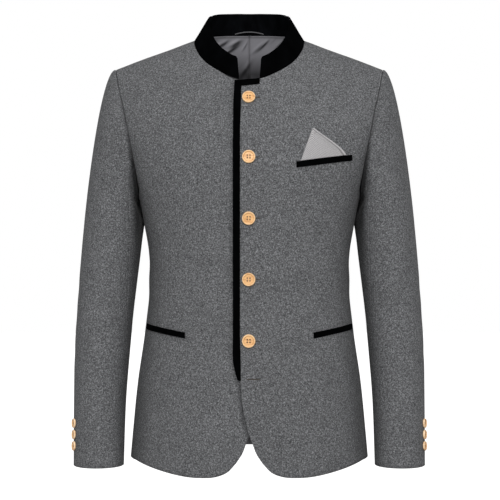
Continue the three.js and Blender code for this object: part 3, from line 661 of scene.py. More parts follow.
def drape_relief(x, z):
    """The soft unevenness of hung cloth, from a few long waves of different lengths."""
    return (
        0.45 * np.sin(x / 31 + z / 97 + 1.1) * np.sin(z / 88 + 0.4)
        + 0.3 * np.sin(x / 17 - z / 59 + 0.7) * np.sin(x / 43 + z / 71 + 2.0)
    )


def fade_at_edges(shape, share=0.08):
    """A grid that is 0 on its edges and 1 a short way in."""
    rows, columns = (np.linspace(0, 1, count) for count in shape)
    along, across = (smooth(np.minimum(t, 1 - t) / share) for t in (rows, columns))
    return along[:, None] * across[None]


def front_panel(label, mirrored, wool, lining):
    """A front: columns from the front edge to the side seam, rows from the hem to the shoulder."""
    t = np.linspace(0, 1, FRONT_COLUMNS + 1)
    u = t - EDGE_CROWDING * np.sin(2 * np.pi * t)
    v = np.linspace(0, 1, FRONT_ROWS * FRONT_FINE + 1)
    x, height = panel_place(u, v, front_inner_edge, front_outer_edge, front_hem_z, FRONT_ROLL)
    z = body_point(x, height, FRONT_ROLL)[..., 2]
    inset = lap_inset(x, z) if mirrored else np.zeros_like(x)
    calm = smooth((x - 35) / 40) * fade_at_edges(x.shape)
    relief = dart_relief(x, z) + drape_relief(x * (-1 if mirrored else 1), z) * calm
    # Painted shade beside the lap's edge, along the armhole and towards the side seam.
    tone = front_painted_shade(x, z, mirrored)
    grids = face_grids(x, height, FRONT_ROLL, inset=inset, relief=relief)
    grids = [draw_in(grid, -SEAM_OVERLAP, first=False, bottom=False) for grid in grids]
    made = cloth_mesh(
        f"front_{label}_cloth", *mirrored_grids(grids, mirrored),
        seams=swap_ends("last top", mirrored), tone=turned(tone, mirrored),
    )
    add_piece(
        made, "wool", (wool, lining), replaces=[f"front_{label}"],
        flat=(0.26, 0.7), area=0.151, held="hung", rests_on=[f"back_{label}_cloth"],
    )


BACK_ROWS = 23
BACK_UNDERARM_ROW = 13
BACK_FINE = 6
BACK_COLUMNS = 84
NECK_SPAN = 0.5


def back_inner_edge(v):
    """The centre back seam."""
    z = lerp(BACK_HEM_Z, BACK_NECKLINE["z"][0], v)
    return np.stack([np.zeros_like(z), z], -1)


def back_outer_edge(v):
    """The back's side seam, then its armhole."""
    start = BACK_UNDERARM_ROW / BACK_ROWS
    z = lerp(BACK_HEM_Z, BACK_ARMHOLE[0][1], np.minimum(1, v / start))
    side = np.stack([seam_x(BACK_SEAM, z), z], -1)
    arm = back_arm_curve((v - start) / (1 - start))
    return np.where(v[:, None] <= start, side, arm)


def back_top_edge(u):
    """The back's top row: along the neckline, then along the shoulder seam."""
    neck_x = lerp(0, NECK_HALF, u / NECK_SPAN)
    neck_z = read_table(BACK_NECKLINE, "x", "z", neck_x)
    neck_height = height_of(neck_x, neck_z, BACK_ROLL)
    shoulder_x = lerp(NECK_HALF, SHOULDER_X, (u - NECK_SPAN) / (1 - NECK_SPAN))
    on_neck = u <= NECK_SPAN
    return np.where(on_neck, neck_x, shoulder_x), np.where(on_neck, neck_height, 1.0)


def back_place(u, v):
    """Where a back's grid lies: between its two edges, and bent up to its top row."""
    inner, outer = back_inner_edge(v), back_outer_edge(v)
    end_x, end_height = back_top_edge(u)
    inner_height = height_of(inner[:, 0], inner[:, 1], BACK_ROLL)
    outer_height = height_of(outer[:, 0], outer[:, 1], BACK_ROLL)
    bend = (v**3)[:, None]
    x = lerp(inner[:, :1], outer[:, :1], u[None]) + bend * (end_x - SHOULDER_X * u)[None]
    sag = end_height - lerp(end_height[0], 1, u)
    height = lerp(inner_height[:, None], outer_height[:, None], u[None]) + bend * sag[None]
    return x, np.minimum(1, height)


def back_panel(label, mirrored, wool, lining):
    """A back: columns from the side seam to the centre seam, rows from the hem up."""
    u = np.linspace(0, 1, BACK_COLUMNS + 1)
    v = np.linspace(0, 1, BACK_ROWS * BACK_FINE + 1)
    x, height = back_place(u, v)
    z = body_point(x, height, BACK_ROLL)[..., 2]
    waist = 0.9 * bell(z + 372, 60) * np.sin(z / 13 + x / 22)
    relief = (drape_relief(x + 60, z) + waist * smooth((x - 40) / 60)) * fade_at_edges(x.shape)
    grids = [grid[:, ::-1] for grid in face_grids(x, height, BACK_ROLL, relief=relief)]
    grids = [draw_in(grid, -SEAM_OVERLAP, bottom=False) for grid in grids]
    # Painted shade towards the side seam.
    made = cloth_mesh(
        f"back_{label}_cloth", *mirrored_grids(grids, mirrored), seams="first last top",
        tone=turned(side_painted_shade(BACK_SEAM, x, z), not mirrored),
    )
    add_piece(
        made, "wool", (wool, lining), replaces=[f"back_{label}"],
        flat=(0.22, 0.72), area=0.13, held="hung", rests_on=["collar_velvet"],
    )


SIDE_ROWS = 78
SIDE_COLUMNS = 40


def side_place(across, v):
    """Angle and height of a side panel's grid, from the front's seam round to the back's."""
    top = read_table(UNDERARM, "across", "z", across)
    seam_hem = front_hem_z(seam_x(FRONT_SEAM, SEAM_HEM_Z))
    z = lerp(lerp(seam_hem, BACK_HEM_Z, smooth(across)), top, v)
    return lerp(-seam_angle(FRONT_SEAM, z), seam_angle(BACK_SEAM, z), across), z


def side_panel(label, mirrored, wool, lining):
    """A side panel, rows from the hem to the underarm."""
    across = np.linspace(0, 1, SIDE_COLUMNS + 1)[None]
    v = np.linspace(0, 1, SIDE_ROWS + 1)[:, None]
    angle, z = side_place(across, v)
    point, normal = section_point(angle, z), section_normal(angle, z)
    fold = 0.8 * bell(z + 385, 45) * np.sin(z / 11 + angle * 3)
    relief = fold * fade_at_edges(z.shape, 0.2)
    grids = [point + relief[..., None] * normal, point - CLOTH_WALL * normal]
    grids = [draw_in(grid, -SEAM_OVERLAP, bottom=False, top=False) for grid in grids]
    # The whole side panel is darkened by an even painted shade.
    made = cloth_mesh(
        f"side_{label}_cloth", *mirrored_grids(grids, mirrored), seams="first last top",
        tone=np.full_like(relief, SIDE_SHADE),
    )
    add_piece(
        made, "wool", (wool, lining), replaces=[f"side_{label}"],
        flat=(0.12, 0.46), area=0.052, held="hung", rests_on=[f"front_{label}_cloth"],
    )


def armhole_loop():
    """The armhole as one closed curve, from the shoulder tip down the front and up the back."""
    share = np.arange(24) / 24
    front, back = front_arm_curve(1 - share), back_arm_curve(share)
    angle, z = side_place(share, 1)
    return smooth_curve(
        np.concatenate([
            on_face(front[:, 0], front[:, 1], FRONT_ROLL, 0),
            section_point(angle, z),
            on_face(back[:, 0], back[:, 1], BACK_ROLL, 0),
        ]),
        closed=True,
        steps=12,
    )


armhole = armhole_loop()


def arm_ring(angle, z):
    """A ring of the arm, an ellipse: angle 0 is the outside, a quarter turn the front."""
    columns = ("x", "y", "half_width", "half_depth")
    x, y, half_width, half_depth = (read_table(SLEEVE_RINGS, "z", name, z) for name in columns)
    return np.stack([x + half_width * np.cos(angle), y - half_depth * np.sin(angle), z], -1)


def angle_between(angle, other):
    """The way round from one angle to another, at most half a turn."""
    apart = angle - other
    return np.arctan2(np.sin(apart), np.cos(apart))


def fold_depth(angle, z):
    """Depth of the sleeve's folds: each is a bell across its line and a wider bell along it."""
    rows = {name: column.reshape(-1, *[1] * np.ndim(z)) for name, column in SLEEVE_FOLDS.items()}
    turn = angle_between(angle, np.radians(rows["angle"]))
    off = z - rows["z"] - rows["slope"] * turn * ARM_RADIUS
    return np.sum(rows["depth"] * bell(off, rows["wide"]) * bell(turn, rows["long"]), axis=0)


def underarm_ease(angle, along):
    """The fullness that rests against the body behind the underarm, less the valley beside the
    armhole in front: each is a bell round the arm and along it."""
    total = 0
    for row in (UNDERARM_EASE, ARMHOLE_VALLEY):
        turn = angle_between(angle, math.radians(row["angle"]))
        off = along - row["along"]
        total = total + row["depth"] * bell(off, row["wide"]) * bell(turn, row["long"])
    return total


def sleeve_point(angle, along):
    """A place on the sleeve. Below the cap it is on a ring of the arm, sunk by the folds. In the
    cap it is on a Bezier curve that leaves the armhole outwards and settles into the arm."""
    angle, along = np.broadcast_arrays(np.asarray(angle, float), np.asarray(along, float))
    z = lerp(BICEPS_Z, CUFF_Z, np.maximum(0, (along - CAP_SHARE) / (1 - CAP_SHARE)))
    inward = np.stack([-np.cos(angle), np.sin(angle), np.zeros_like(angle)], -1)
    arm = arm_ring(angle, z) + inward * fold_depth(angle, z)[..., None]
    start = armhole((angle / (2 * np.pi)) % 1)
    end = arm_ring(angle, np.full_like(angle, BICEPS_Z))
    below = arm_ring(angle, np.full_like(angle, BICEPS_Z - 5))
    top = (1 + np.cos(angle)) / 2
    lift = np.stack([lerp(*CAP_LIFT_OUT, top), np.zeros_like(top), lerp(*CAP_LIFT_UP, top)], -1)
    start = start + ARMHOLE_GAP * unit(lift)
    drop = (start[..., 2] - end[..., 2])[..., None]
    third = end + unit(end - below) * drop * CAP_SETTLE
    t = np.minimum(1, along / CAP_SHARE)[..., None]
    cap = (
        (1 - t) ** 3 * start
        + 3 * (1 - t) ** 2 * t * (start + lift)
        + 3 * (1 - t) * t**2 * third
        + t**3 * end
    )
    ease = underarm_ease(angle, along)[..., None]
    return np.where((along >= CAP_SHARE)[..., None], arm, cap) - inward * ease


def sleeve_normal(angle, along):
    """The way out of the sleeve."""
    step, aside = 0.004, 0.02
    low = np.minimum(1, along + step)
    high = np.maximum(0, low - 2 * step)
    turn = sleeve_point(angle + aside, along) - sleeve_point(angle - aside, along)
    return unit(np.cross(sleeve_point(angle, high) - sleeve_point(angle, low), turn))


SLEEVE_ROWS = 130
SLEEVE_ROW_POWER = 1.3


def rear_turn(along):
    """Angle of the rear seam, in degrees."""
    return read_table(REAR_SEAM, "along", "angle", along)


def inner_turn(along):
    """Angle of the inner seam, in degrees."""
    return read_table(INNER_SEAM, "along", "angle", along)


def sleeve_painted_shade(point):
    """Painted shade in the fold between sleeve and body: an even core and then a bell across the
    line of the armhole, and below it across the arm's inner side."""
    x, z = point[..., 0], point[..., 2]
    inner = read_table(SLEEVE_RINGS, "z", "x", z) - read_table(SLEEVE_RINGS, "z", "half_width", z)
    line = lerp(inner, armhole_x(z), smooth((z + 285) / 40))
    strength, core, wide = (
        read_table(SLEEVE_SHADE, "z", name, z) for name in ("strength", "core", "wide")
    )
    return strength * bell(np.maximum(0, x - line - core), wide)


def sleeve_piece(name, columns, turns, mirrored, finishes, flat, area):
    """A sleeve piece between two seams that turn with the arm, rows from the cuff to the cap."""
    along = (1 - np.linspace(0, 1, SLEEVE_ROWS + 1)[:, None]) ** SLEEVE_ROW_POWER
    start, end = (np.radians(turn(along)) for turn in turns)
    angle = lerp(end, start, np.linspace(0, 1, columns + 1)[None])
    along = np.broadcast_to(along, angle.shape)
    outer = sleeve_point(angle, along)
    inner = outer - CLOTH_WALL * sleeve_normal(angle, along)
    grids = [draw_in(g, -SEAM_OVERLAP, bottom=False, top=False) for g in (outer, inner)]
    # Painted shade in the fold between sleeve and body.
    made = cloth_mesh(
        f"{name}_cloth", *mirrored_grids(grids, mirrored), seams="first last top",
        tone=turned(sleeve_painted_shade(outer), mirrored),
    )
    label = name.split("_")[-1]
    add_piece(
        made, "wool", finishes, replaces=[name], flat=flat, area=area, held="hung",
        rests_on=[f"front_{label}_cloth", f"back_{label}_cloth"],
    )


def sleeves(label, mirrored, wool, lining):
    """The top sleeve and the under sleeve."""
    sleeve_piece(
        f"sleeve_top_{label}", 78, (rear_turn, inner_turn), mirrored, (wool, lining),
        (0.2, 0.68), 0.092,
    )
    sleeve_piece(
        f"sleeve_under_{label}", 60, (inner_turn, lambda along: rear_turn(along) + 360), mirrored,
        (wool, lining), (0.15, 0.6), 0.07,
    )


COLLAR_HALF = 90
COLLAR_ROWS = 14


def collar_base():
    """The collar's base from its front end to the nape, evenly spaced along the necklines."""
    share = np.linspace(0, 1, 400)
    front = neck_curve(share)
    end_z = np.interp(COLLAR_END_X, front[:, 0], front[:, 1])
    front = front[front[:, 0] > COLLAR_END_X]
    front = np.concatenate([[[COLLAR_END_X, end_z]], front])
    back_x, back_height = back_top_edge(np.linspace(NECK_SPAN, 0, 200)[1:])
    line = np.concatenate([
        on_face(front[:, 0], front[:, 1], FRONT_ROLL, 0),
        body_point(back_x, back_height, BACK_ROLL),
    ])
    run = length_along(line)
    even = np.linspace(0, 1, COLLAR_HALF + 1)
    base = np.stack([np.interp(even, run / run[-1], part) for part in line.T], -1)
    return base, even, run[-1]


def collar_half():
    """Half of the collar as a grid: each column leans from its base by the table's amounts, with
    a slight bulge, and the front end's top corner is cut to a round one."""
    base, around, length = collar_base()
    inward, back, up_by = (
        read_table(COLLAR_RISE, "around", column, around) for column in ("inward", "back", "up")
    )
    off = np.maximum(0, COLLAR_CORNER - around * length)
    cut = COLLAR_CORNER - np.sqrt(np.maximum(0, COLLAR_CORNER**2 - off**2))
    up = np.linspace(0, 1, COLLAR_ROWS + 1)[:, None] * (1 - cut / up_by)[None]
    bulge = COLLAR_BULGE * np.sin(np.pi * up) * base[None, :, 0] / NECK_HALF
    x = base[None, :, 0] - up * inward[None] + bulge
    y = base[None, :, 1] + up * back[None]
    z = base[None, :, 2] + COLLAR_SEAT + up * up_by[None]
    return np.stack([x, y, z], -1)


def grid_normals(grid):
    """Ways out of a grid, square to its rows and columns."""
    across = np.gradient(grid, axis=1)
    rise = np.gradient(grid, axis=0)
    return unit(np.cross(across, rise))


def collar(velvet, facing):
    """The band collar, from the wearer's left end round the nape to the right end."""
    half = collar_half()
    other = half[:, -2::-1] * np.array([-1, 1, 1])
    outer = np.concatenate([half, other], axis=1)
    inner = outer - COLLAR_WALL * grid_normals(outer)
    # The inner face takes the facing: the same velvet painted lighter for the light that it
    # catches.
    made = cloth_mesh("collar_velvet", outer, inner, turn=1.1, seams="bottom")
    add_piece(
        made, "velvet", (velvet, facing), replaces=["collar"], flat=(0.46, 0.045), area=0.0165,
        held="stretched", rests_on=["back_left_cloth", "back_right_cloth"],
    )


def patch(name, x, z, lift, wall, mirrored=False, turn=0.5, relief=0.0, tone=None):
    """A closed patch that lies a little way out from the front, over places given by x and z."""
    height = height_of(x, z, FRONT_ROLL)
    point, normal = body_point(x, height, FRONT_ROLL), body_normal(x, height, FRONT_ROLL)
    proud = np.broadcast_to(lift + wall + relief, x.shape)[..., None]
    grids = [point + normal * proud, point + normal * lift]
    return cloth_mesh(name, *mirrored_grids(grids, mirrored), turn=turn, tone=tone)


def grid_shares(columns, rows):
    """Shares across and up a grid, as two full arrays."""
    return np.meshgrid(np.linspace(0, 1, columns + 1), np.linspace(0, 1, rows + 1))


def front_strip(velvet):
    """The velvet strip down the lap's edge, a little wider at its foot and leaning in at its
    top."""
    u, v = grid_shares(6, 220)
    z = lerp(STRIP_END_Z, STRIP_TOP_Z, v)
    foot = smooth((STRIP_END_Z + 90 - z) / 90)
    lean = smooth((z + 170) / 90)
    inner_x = STRIP_WIDTH - LAP_WIDTH + STRIP_FLARE * foot + STRIP_LEAN * lean
    x = lerp(read_table(FRONT_EDGE, "z", "x", z) - STRIP_WRAP, inner_x, u)
    made = patch("front_strip_velvet", x, z, TRIM_LIFT, TRIM_WALL)
    add_piece(
        made, "velvet", (velvet, velvet), replaces=["front_strip"], flat=(0.0118, 0.478),
        held="stretched", rests_on=["front_left_cloth"],
    )


def lap_trim(velvet):
    """The velvet trim across the top of the lap."""
    u, v = grid_shares(30, 8)
    height = LAP_TRIM["height"] * (1 - LAP_TRIM["taper"] * u * u)
    x = lerp(LAP_TRIM["from_x"], LAP_TRIM["to_x"], u)
    z = LAP_TRIM["top_z"] + u * LAP_TRIM["rise"] - (1 - v) * height
    made = patch("lap_trim_velvet", x, z, TRIM_LIFT, TRIM_WALL)
    add_piece(
        made, "velvet", (velvet, velvet), replaces=["lap_trim"], flat=(0.031, 0.0118),
        held="stretched", rests_on=["front_left_cloth"],
    )


def welt(name, place, mirrored, velvet, carrier):
    """A pocket welt, a band a little fuller along its middle."""
    u, v = grid_shares(60, 10)
    x = lerp(*place["x"], u)
    z = lerp(*place["z"], u) + (v - 0.5) * WELT_HEIGHT
    relief = 0.35 * np.sin(np.pi * v)
    made = patch(f"{name}_velvet", x, z, TRIM_LIFT, WELT_WALL, mirrored, turn=0.7, relief=relief)
    length = math.hypot(np.ptp(place["x"]), np.ptp(place["z"])) * MM * WELT_EASE
    add_piece(
        made, "velvet", (velvet, velvet), replaces=[name], flat=(length, 0.0112),
        held="stretched", rests_on=[carrier],
    )


def welt_top(x):
    """Height of the chest welt's upper edge."""
    share = (x - CHEST_WELT["x"][0]) / np.ptp(CHEST_WELT["x"])
    return lerp(*CHEST_WELT["z"], share) + WELT_HEIGHT / 2 + SEAM_GAP


SQUARE_FOLD = 6
SQUARE_PEAK = 0.9


def pocket_square(twill):
    """The folded square: a back layer in the whole outline, and a front layer whose right edge
    lies a fold's width inside it."""
    foot = welt_top(POCKET_SQUARE["left"][0])
    layers = (("back", 1, 0, 0.0, 0.5), ("front", SQUARE_PEAK, SQUARE_FOLD, 0.9, 0.6))
    for label, rise, fold, lift, wall in layers:
        u, v = grid_shares(80, 44)
        left = read_table(POCKET_SQUARE, "rise", "left", v * rise)
        right = read_table(POCKET_SQUARE, "rise", "right", v * rise)
        x = lerp(left, np.maximum(left + 3, right - fold), u)
        z = lerp(welt_top(x), foot + SQUARE_HEIGHT, v * rise)
        puff = 0.35 * np.sin(np.pi * u) * np.sin(np.pi * np.clip(v, 0.02, 1)) ** 0.5
        from_right = (1 - u) * (right - left)
        roll_over = 1.3 * bell(from_right, 3) - 1.1 * rise * bell(from_right - fold * 1.35, 1.8)
        crease = from_right - SQUARE_FOLD + 1.2 if label == "back" else from_right
        # Painted shade: darker away from the rolled right edge and all over the front layer,
        # darkest along the fold's crease.
        tone = np.maximum(0.27 * smooth(from_right / 3 - rise), 0.8 * bell(crease, 1.3))
        if label == "front":
            tone = np.maximum(tone, 0.27)
        made = patch(
            f"pocket_square_{label}", x, z, TRIM_LIFT + lift, wall, turn=0.25,
            relief=puff + roll_over, tone=tone,
        )
        carrier = "front_left_cloth" if label == "back" else "pocket_square_back"
        add_piece(
            made, "pocket_twill", (twill, twill),
            replaces=["pocket_square"] if label == "back" else (),
            flat=(0.078, 0.056), area=0.0021, held="folded", rests_on=[carrier],
        )


def crease_height(x, z, aside=0.0):
    """Height of the lining's creases: each is a bell across its slanted line, moved aside by a
    share of its width, and fades along it."""
    rows = {name: column.reshape(-1, 1, 1) for name, column in LINING_CREASES.items()}
    across, down = x - rows["x"], z - rows["z"]
    size = np.sqrt(1 + rows["slope"] ** 2)
    off = (down - rows["slope"] * across) / size + aside * rows["wide"]
    run = (across + rows["slope"] * down) / size
    return np.sum(rows["depth"] * bell(off, rows["wide"]) * bell(run, rows["long"]), axis=0)


def lining_half(label, mirrored, satin):
    """Half of the neck lining, from the centre seam to the shoulder, with its creases raised
    towards the wearer."""
    u, v = grid_shares(80, 150)
    x = lerp(-SEAM_OVERLAP, lerp(*LINING_HALF, v), u)
    top = read_table(BACK_NECKLINE, "x", "z", x) - LINING_DROP
    z = lerp(LINING_DEPTH_Z, top, v)
    side = -1 if mirrored else 1
    pleat = 1.6 * (1 - bell(x, 2.4))
    fade = smooth((1 - v) * 9) * smooth((1 - u) * 6)
    rise = crease_height(side * x, z) * fade + pleat
    # Painted shade on one side of each crease and under the collar along the top edge, and a
    # darker line along the centre seam.
    tone = crease_height(side * x, z, aside=CREASE_SHADE) * smooth((1 - v) * 14) / 3
    tone = np.clip(tone + 0.3 * bell(x, 1.6) + 0.5 * smooth((v - 0.97) / 0.02), 0, 1)
    deep = CLOTH_WALL + LINING_GAP
    normal = body_normal(x, height_of(x, z, BACK_ROLL), BACK_ROLL)
    back = on_face(x, z, BACK_ROLL, -deep)
    inner = back - normal * (LINING_WALL + rise)[..., None]
    back = back - normal * (rise * 0.8)[..., None]
    tucked = LINING_TUCK * smooth((v - 0.86) / 0.14)
    grids = [
        grid[:, ::-1] + np.stack([0 * tucked, 0 * tucked, tucked], -1) for grid in (back, inner)
    ]
    made = cloth_mesh(
        f"lining_{label}_satin", *mirrored_grids(grids, mirrored), turn=0.3,
        seams="first last", tone=turned(tone, not mirrored),
    )
    add_piece(
        made, "satin_lining", (satin, satin), replaces=[f"lining_{label}"], flat=(0.09, 0.2),
        area=0.0155, held="hung", rests_on=[f"back_{label}_cloth"],
    )


def tube(path, radius, sides, closed=False, across=(0, 0, 1)):
    """A round tube along a path: at each point a ring square to the path, its radius a number or
    one for each point. An open tube is closed by a last ring drawn to a point."""
    path = np.asarray(path, float)
    if closed:
        ahead, behind = np.roll(path, -1, 0), np.roll(path, 1, 0)
        along = unit(ahead - behind)
    else:
        along = unit(np.gradient(path, axis=0))
    side = unit(np.cross(along, np.broadcast_to(across, path.shape)))
    up = np.cross(side, along)
    turn = np.linspace(0, 2 * np.pi, sides, endpoint=False)
    size = np.broadcast_to(radius, len(path))[:, None, None]
    ring = side[:, None] * np.cos(turn)[None, :, None] + up[:, None] * np.sin(turn)[None, :, None]
    rings = path[:, None] + ring * size
    if not closed:
        rings = np.concatenate([np.repeat(path[:1, None], sides, 1), rings,
                                np.repeat(path[-1:, None], sides, 1)])
    return rings


def ring_mesh(name, groups, closed=False, tone=None):
    """One mesh from several stacks of rings, each a closed skin round its own path. A tone, with
    painted highlight and shade, is kept with its points."""
    verts, faces, start = [], [], 0
    for rings in groups:
        rows, sides = rings.shape[:2]
        index = np.arange(rows * sides).reshape(rows, sides) + start
        low, high = (index, np.roll(index, -1, 0)) if closed else (index[:-1], index[1:])
        corners = (low, np.roll(low, -1, 1), np.roll(high, -1, 1), high)
        faces.append(np.stack([corner.ravel() for corner in corners], -1))
        verts.append(rings.reshape(-1, 3))
        start += rows * sides
    made = mesh_object(name, np.concatenate(verts), np.concatenate(faces))
    if tone is not None:
        keep_tone_and_shade(made, tone)
    close_mesh(made.data)
    return made


def close_mesh(data):
    """Merges the points drawn together at the ends of a tube and turns all faces outwards."""
    work = bmesh.new()
    work.from_mesh(data)
    bmesh.ops.remove_doubles(work, verts=work.verts, dist=1e-6)
    bmesh.ops.recalc_face_normals(work, faces=work.faces)
    work.to_mesh(data)
    work.free()


LOOP = {"half_span": 24, "radius": 1.1, "end_z": 17.4, "rise": 4, "end_back": 4.5, "lean": 2.9}


def hanger_loop(satin):
    """The hanger loop: a thin cord in a low arch below the collar."""
    nape = body_point(np.zeros(1), height_of(np.zeros(1), BACK_NECKLINE["z"][:1], BACK_ROLL),
                      BACK_ROLL)[0]
    seat = nape[1] - COLLAR_WALL - LOOP["radius"] - SEAM_GAP
    x = np.linspace(-LOOP["half_span"], LOOP["half_span"], 90)
    arch = 1 - (x / LOOP["half_span"]) ** 2
    y = seat - LOOP["end_back"] * (1 - arch) - LOOP["lean"] * arch
    z = LOOP["end_z"] + LOOP["rise"] * arch
    twist = LOOP["radius"] * (0.94 + 0.06 * np.sin(x * 4.4))
    made = ring_mesh("hanger_loop_satin", [tube(np.stack([x, y, z], -1), twist, 12)])
    add_piece(made, "satin_lining", (satin,), replaces=["hanger_loop"])


def buttonholes(thread, slit):
    """The front's six buttonholes: a worked ring of stitches round a slit, each on the lap."""
    length = np.ptp(BUTTONHOLE_X)
    middle = sum(BUTTONHOLE_X) / 2
    turn = np.linspace(0, 2 * np.pi, 160, endpoint=False)
    for number, hole_z in enumerate([*FRONT_BUTTON_Z, LOWEST_HOLE_Z], start=1):
        x = middle + (length / 2 - 0.5) * np.sign(np.cos(turn)) * np.abs(np.cos(turn)) ** 0.5
        z = hole_z + 0.6 * np.sign(np.sin(turn)) * np.abs(np.sin(turn)) ** 0.5
        stitch = 0.36 + 0.07 * np.cos(turn * 60)
        ring = tube(on_face(x, z, FRONT_ROLL, 0.15), stitch, 8, closed=True, across=(0, 1, 0))
        made = ring_mesh(f"buttonhole_{number}_stitches", [ring], closed=True)
        add_piece(made, "wool", (thread,))
        # The slit is a thin dark patch on the cloth: painted shade in the cut.
        u, v = grid_shares(30, 2)
        opening = patch(
            f"buttonhole_{number}_slit",
            lerp(BUTTONHOLE_X[0] + 0.8, BUTTONHOLE_X[1] - 0.8, u), hole_z + (v - 0.5) * 0.7,
            0.02, 0.16, turn=0.05,
        )
        add_piece(opening, "wool", (slit, slit))


Button = namedtuple("Button", "radius thick rim hole ring")
FRONT_BUTTON = Button(radius=10.6, thick=4, rim=1.4, hole=1.1, ring=3)
CUFF_BUTTON = Button(radius=7.6, thick=3.4, rim=1, hole=0.85, ring=2.1)


def button_rings(button):
    """A turned button as rings round its axis: up the underside, over the rim and across the
    dished face, whose four holes sink into it where a point is near a hole's centre. Returned
    with it is the wood's tone and painted shade at each point: 0 on the rim, painted paler as a
    highlight, 0.5 in the dish and 1 in a hole, painted dark as shade."""
    radius, thick, rim = button.radius, button.thick, button.rim
    dish = thick * 0.7
    profile = smooth_curve(
        [
            (0, 0),
            (radius * 0.5, 0),
            (radius * 0.84, 0.05),
            (radius * 0.96, thick * 0.22),
            (radius, thick * 0.5),
            (radius - rim * 0.3, thick * 0.9),
            (radius - rim * 0.85, thick),
            (radius - rim * 1.5, thick * 0.93),
            (radius - rim * 2.3, dish),
            (radius * 0.55, dish * 0.97),
            (0, dish * 0.95),
        ]
    )
    run = np.concatenate([np.linspace(0, 0.62, 34, endpoint=False), np.linspace(0.62, 1, 46)])
    line = profile(run)
    turn = np.linspace(0, 2 * np.pi, 72, endpoint=False)
    r, z = line[:, :1], np.broadcast_to(line[:, 1:], (len(line), len(turn))).copy()
    x, y = r * np.cos(turn), r * np.sin(turn)
    reach = button.ring / math.sqrt(2)
    near = np.hypot(np.abs(x) - reach, np.abs(y) - reach)
    face = (run > 0.5)[:, None]
    sink = smooth((button.hole + 0.15 - near) / 0.4)
    z = np.where(face, z - sink * dish * 0.75, z)
    dished = smooth((radius - rim * 1.1 - r) / (rim * 1.6))
    tone = np.where(face, 0.5 * dished * (1 - sink) + sink, 0)
    return np.stack([x, y, z], -1), tone


def thread_rings(button):
    """The thread as two short stitches from hole to hole, each a low arch over the face."""
    reach = button.ring / math.sqrt(2)
    dish = button.thick * 0.7
    share = np.linspace(-1, 1, 17)
    arch = dish * 0.95 + 0.35 - 1.7 * np.abs(share) ** 4
    stacks = []
    for side in (-1, 1):
        for strand in (-0.24, 0.24):
            path = np.stack([np.full_like(share, side * reach + strand), share * reach, arch], -1)
            stacks.append(tube(path, 0.2, 8, across=(1, 0, 0)))
    return stacks


def seat_rings(rings, point, normal):
    """Rings moved from a button's own axes to its seat on the cloth."""
    normal = unit(np.asarray(normal, float))
    side = unit(np.cross((0, 0, 1), normal))
    up = np.cross(normal, side)
    axes = np.stack([side, up, normal])
    return rings @ axes + point + normal * BUTTON_LIFT


def add_button(name, button, point, normal, wood, thread):
    """A wooden button that replaces its solid, and its thread."""
    rings, tone = button_rings(button)
    body = ring_mesh(f"{name}_wood", [seat_rings(rings, point, normal)], tone=tone)
    add_piece(body, "button_wood", (wood,), replaces=[name])
    stitches = [seat_rings(rings, point, normal) for rings in thread_rings(button)]
    add_piece(ring_mesh(f"{name}_thread", stitches), "button_wood", (thread,))


def buttons(wood, cuff_wood, thread):
    """Five buttons down the front and three on each cuff."""
    for number, z in enumerate(FRONT_BUTTON_Z, start=1):
        point = on_face([FRONT_BUTTON_X], [z], FRONT_ROLL, 0)[0]
        ahead = on_face([FRONT_BUTTON_X], [z], FRONT_ROLL, 1)[0]
        add_button(f"front_button_{number}", FRONT_BUTTON, point, ahead - point, wood, thread)
    for label, mirrored in SIDES:
        flip = np.array([-1 if mirrored else 1, 1, 1])
        for number, z in enumerate(CUFF_BUTTON_Z, start=1):
            along = CAP_SHARE + (1 - CAP_SHARE) * (z - BICEPS_Z) / (CUFF_Z - BICEPS_Z)
            angle, along = np.array([CUFF_BUTTON_ANGLE]), np.array([along])
            point = sleeve_point(angle, along)[0] * flip
            normal = sleeve_normal(angle, along)[0] * flip
            name = f"cuff_button_{label}_{number}"
            add_button(name, CUFF_BUTTON, point, normal, cuff_wood, thread)


# A diagonal wave of scale 1 repeats after this length
WAVE_REACH = 0.628


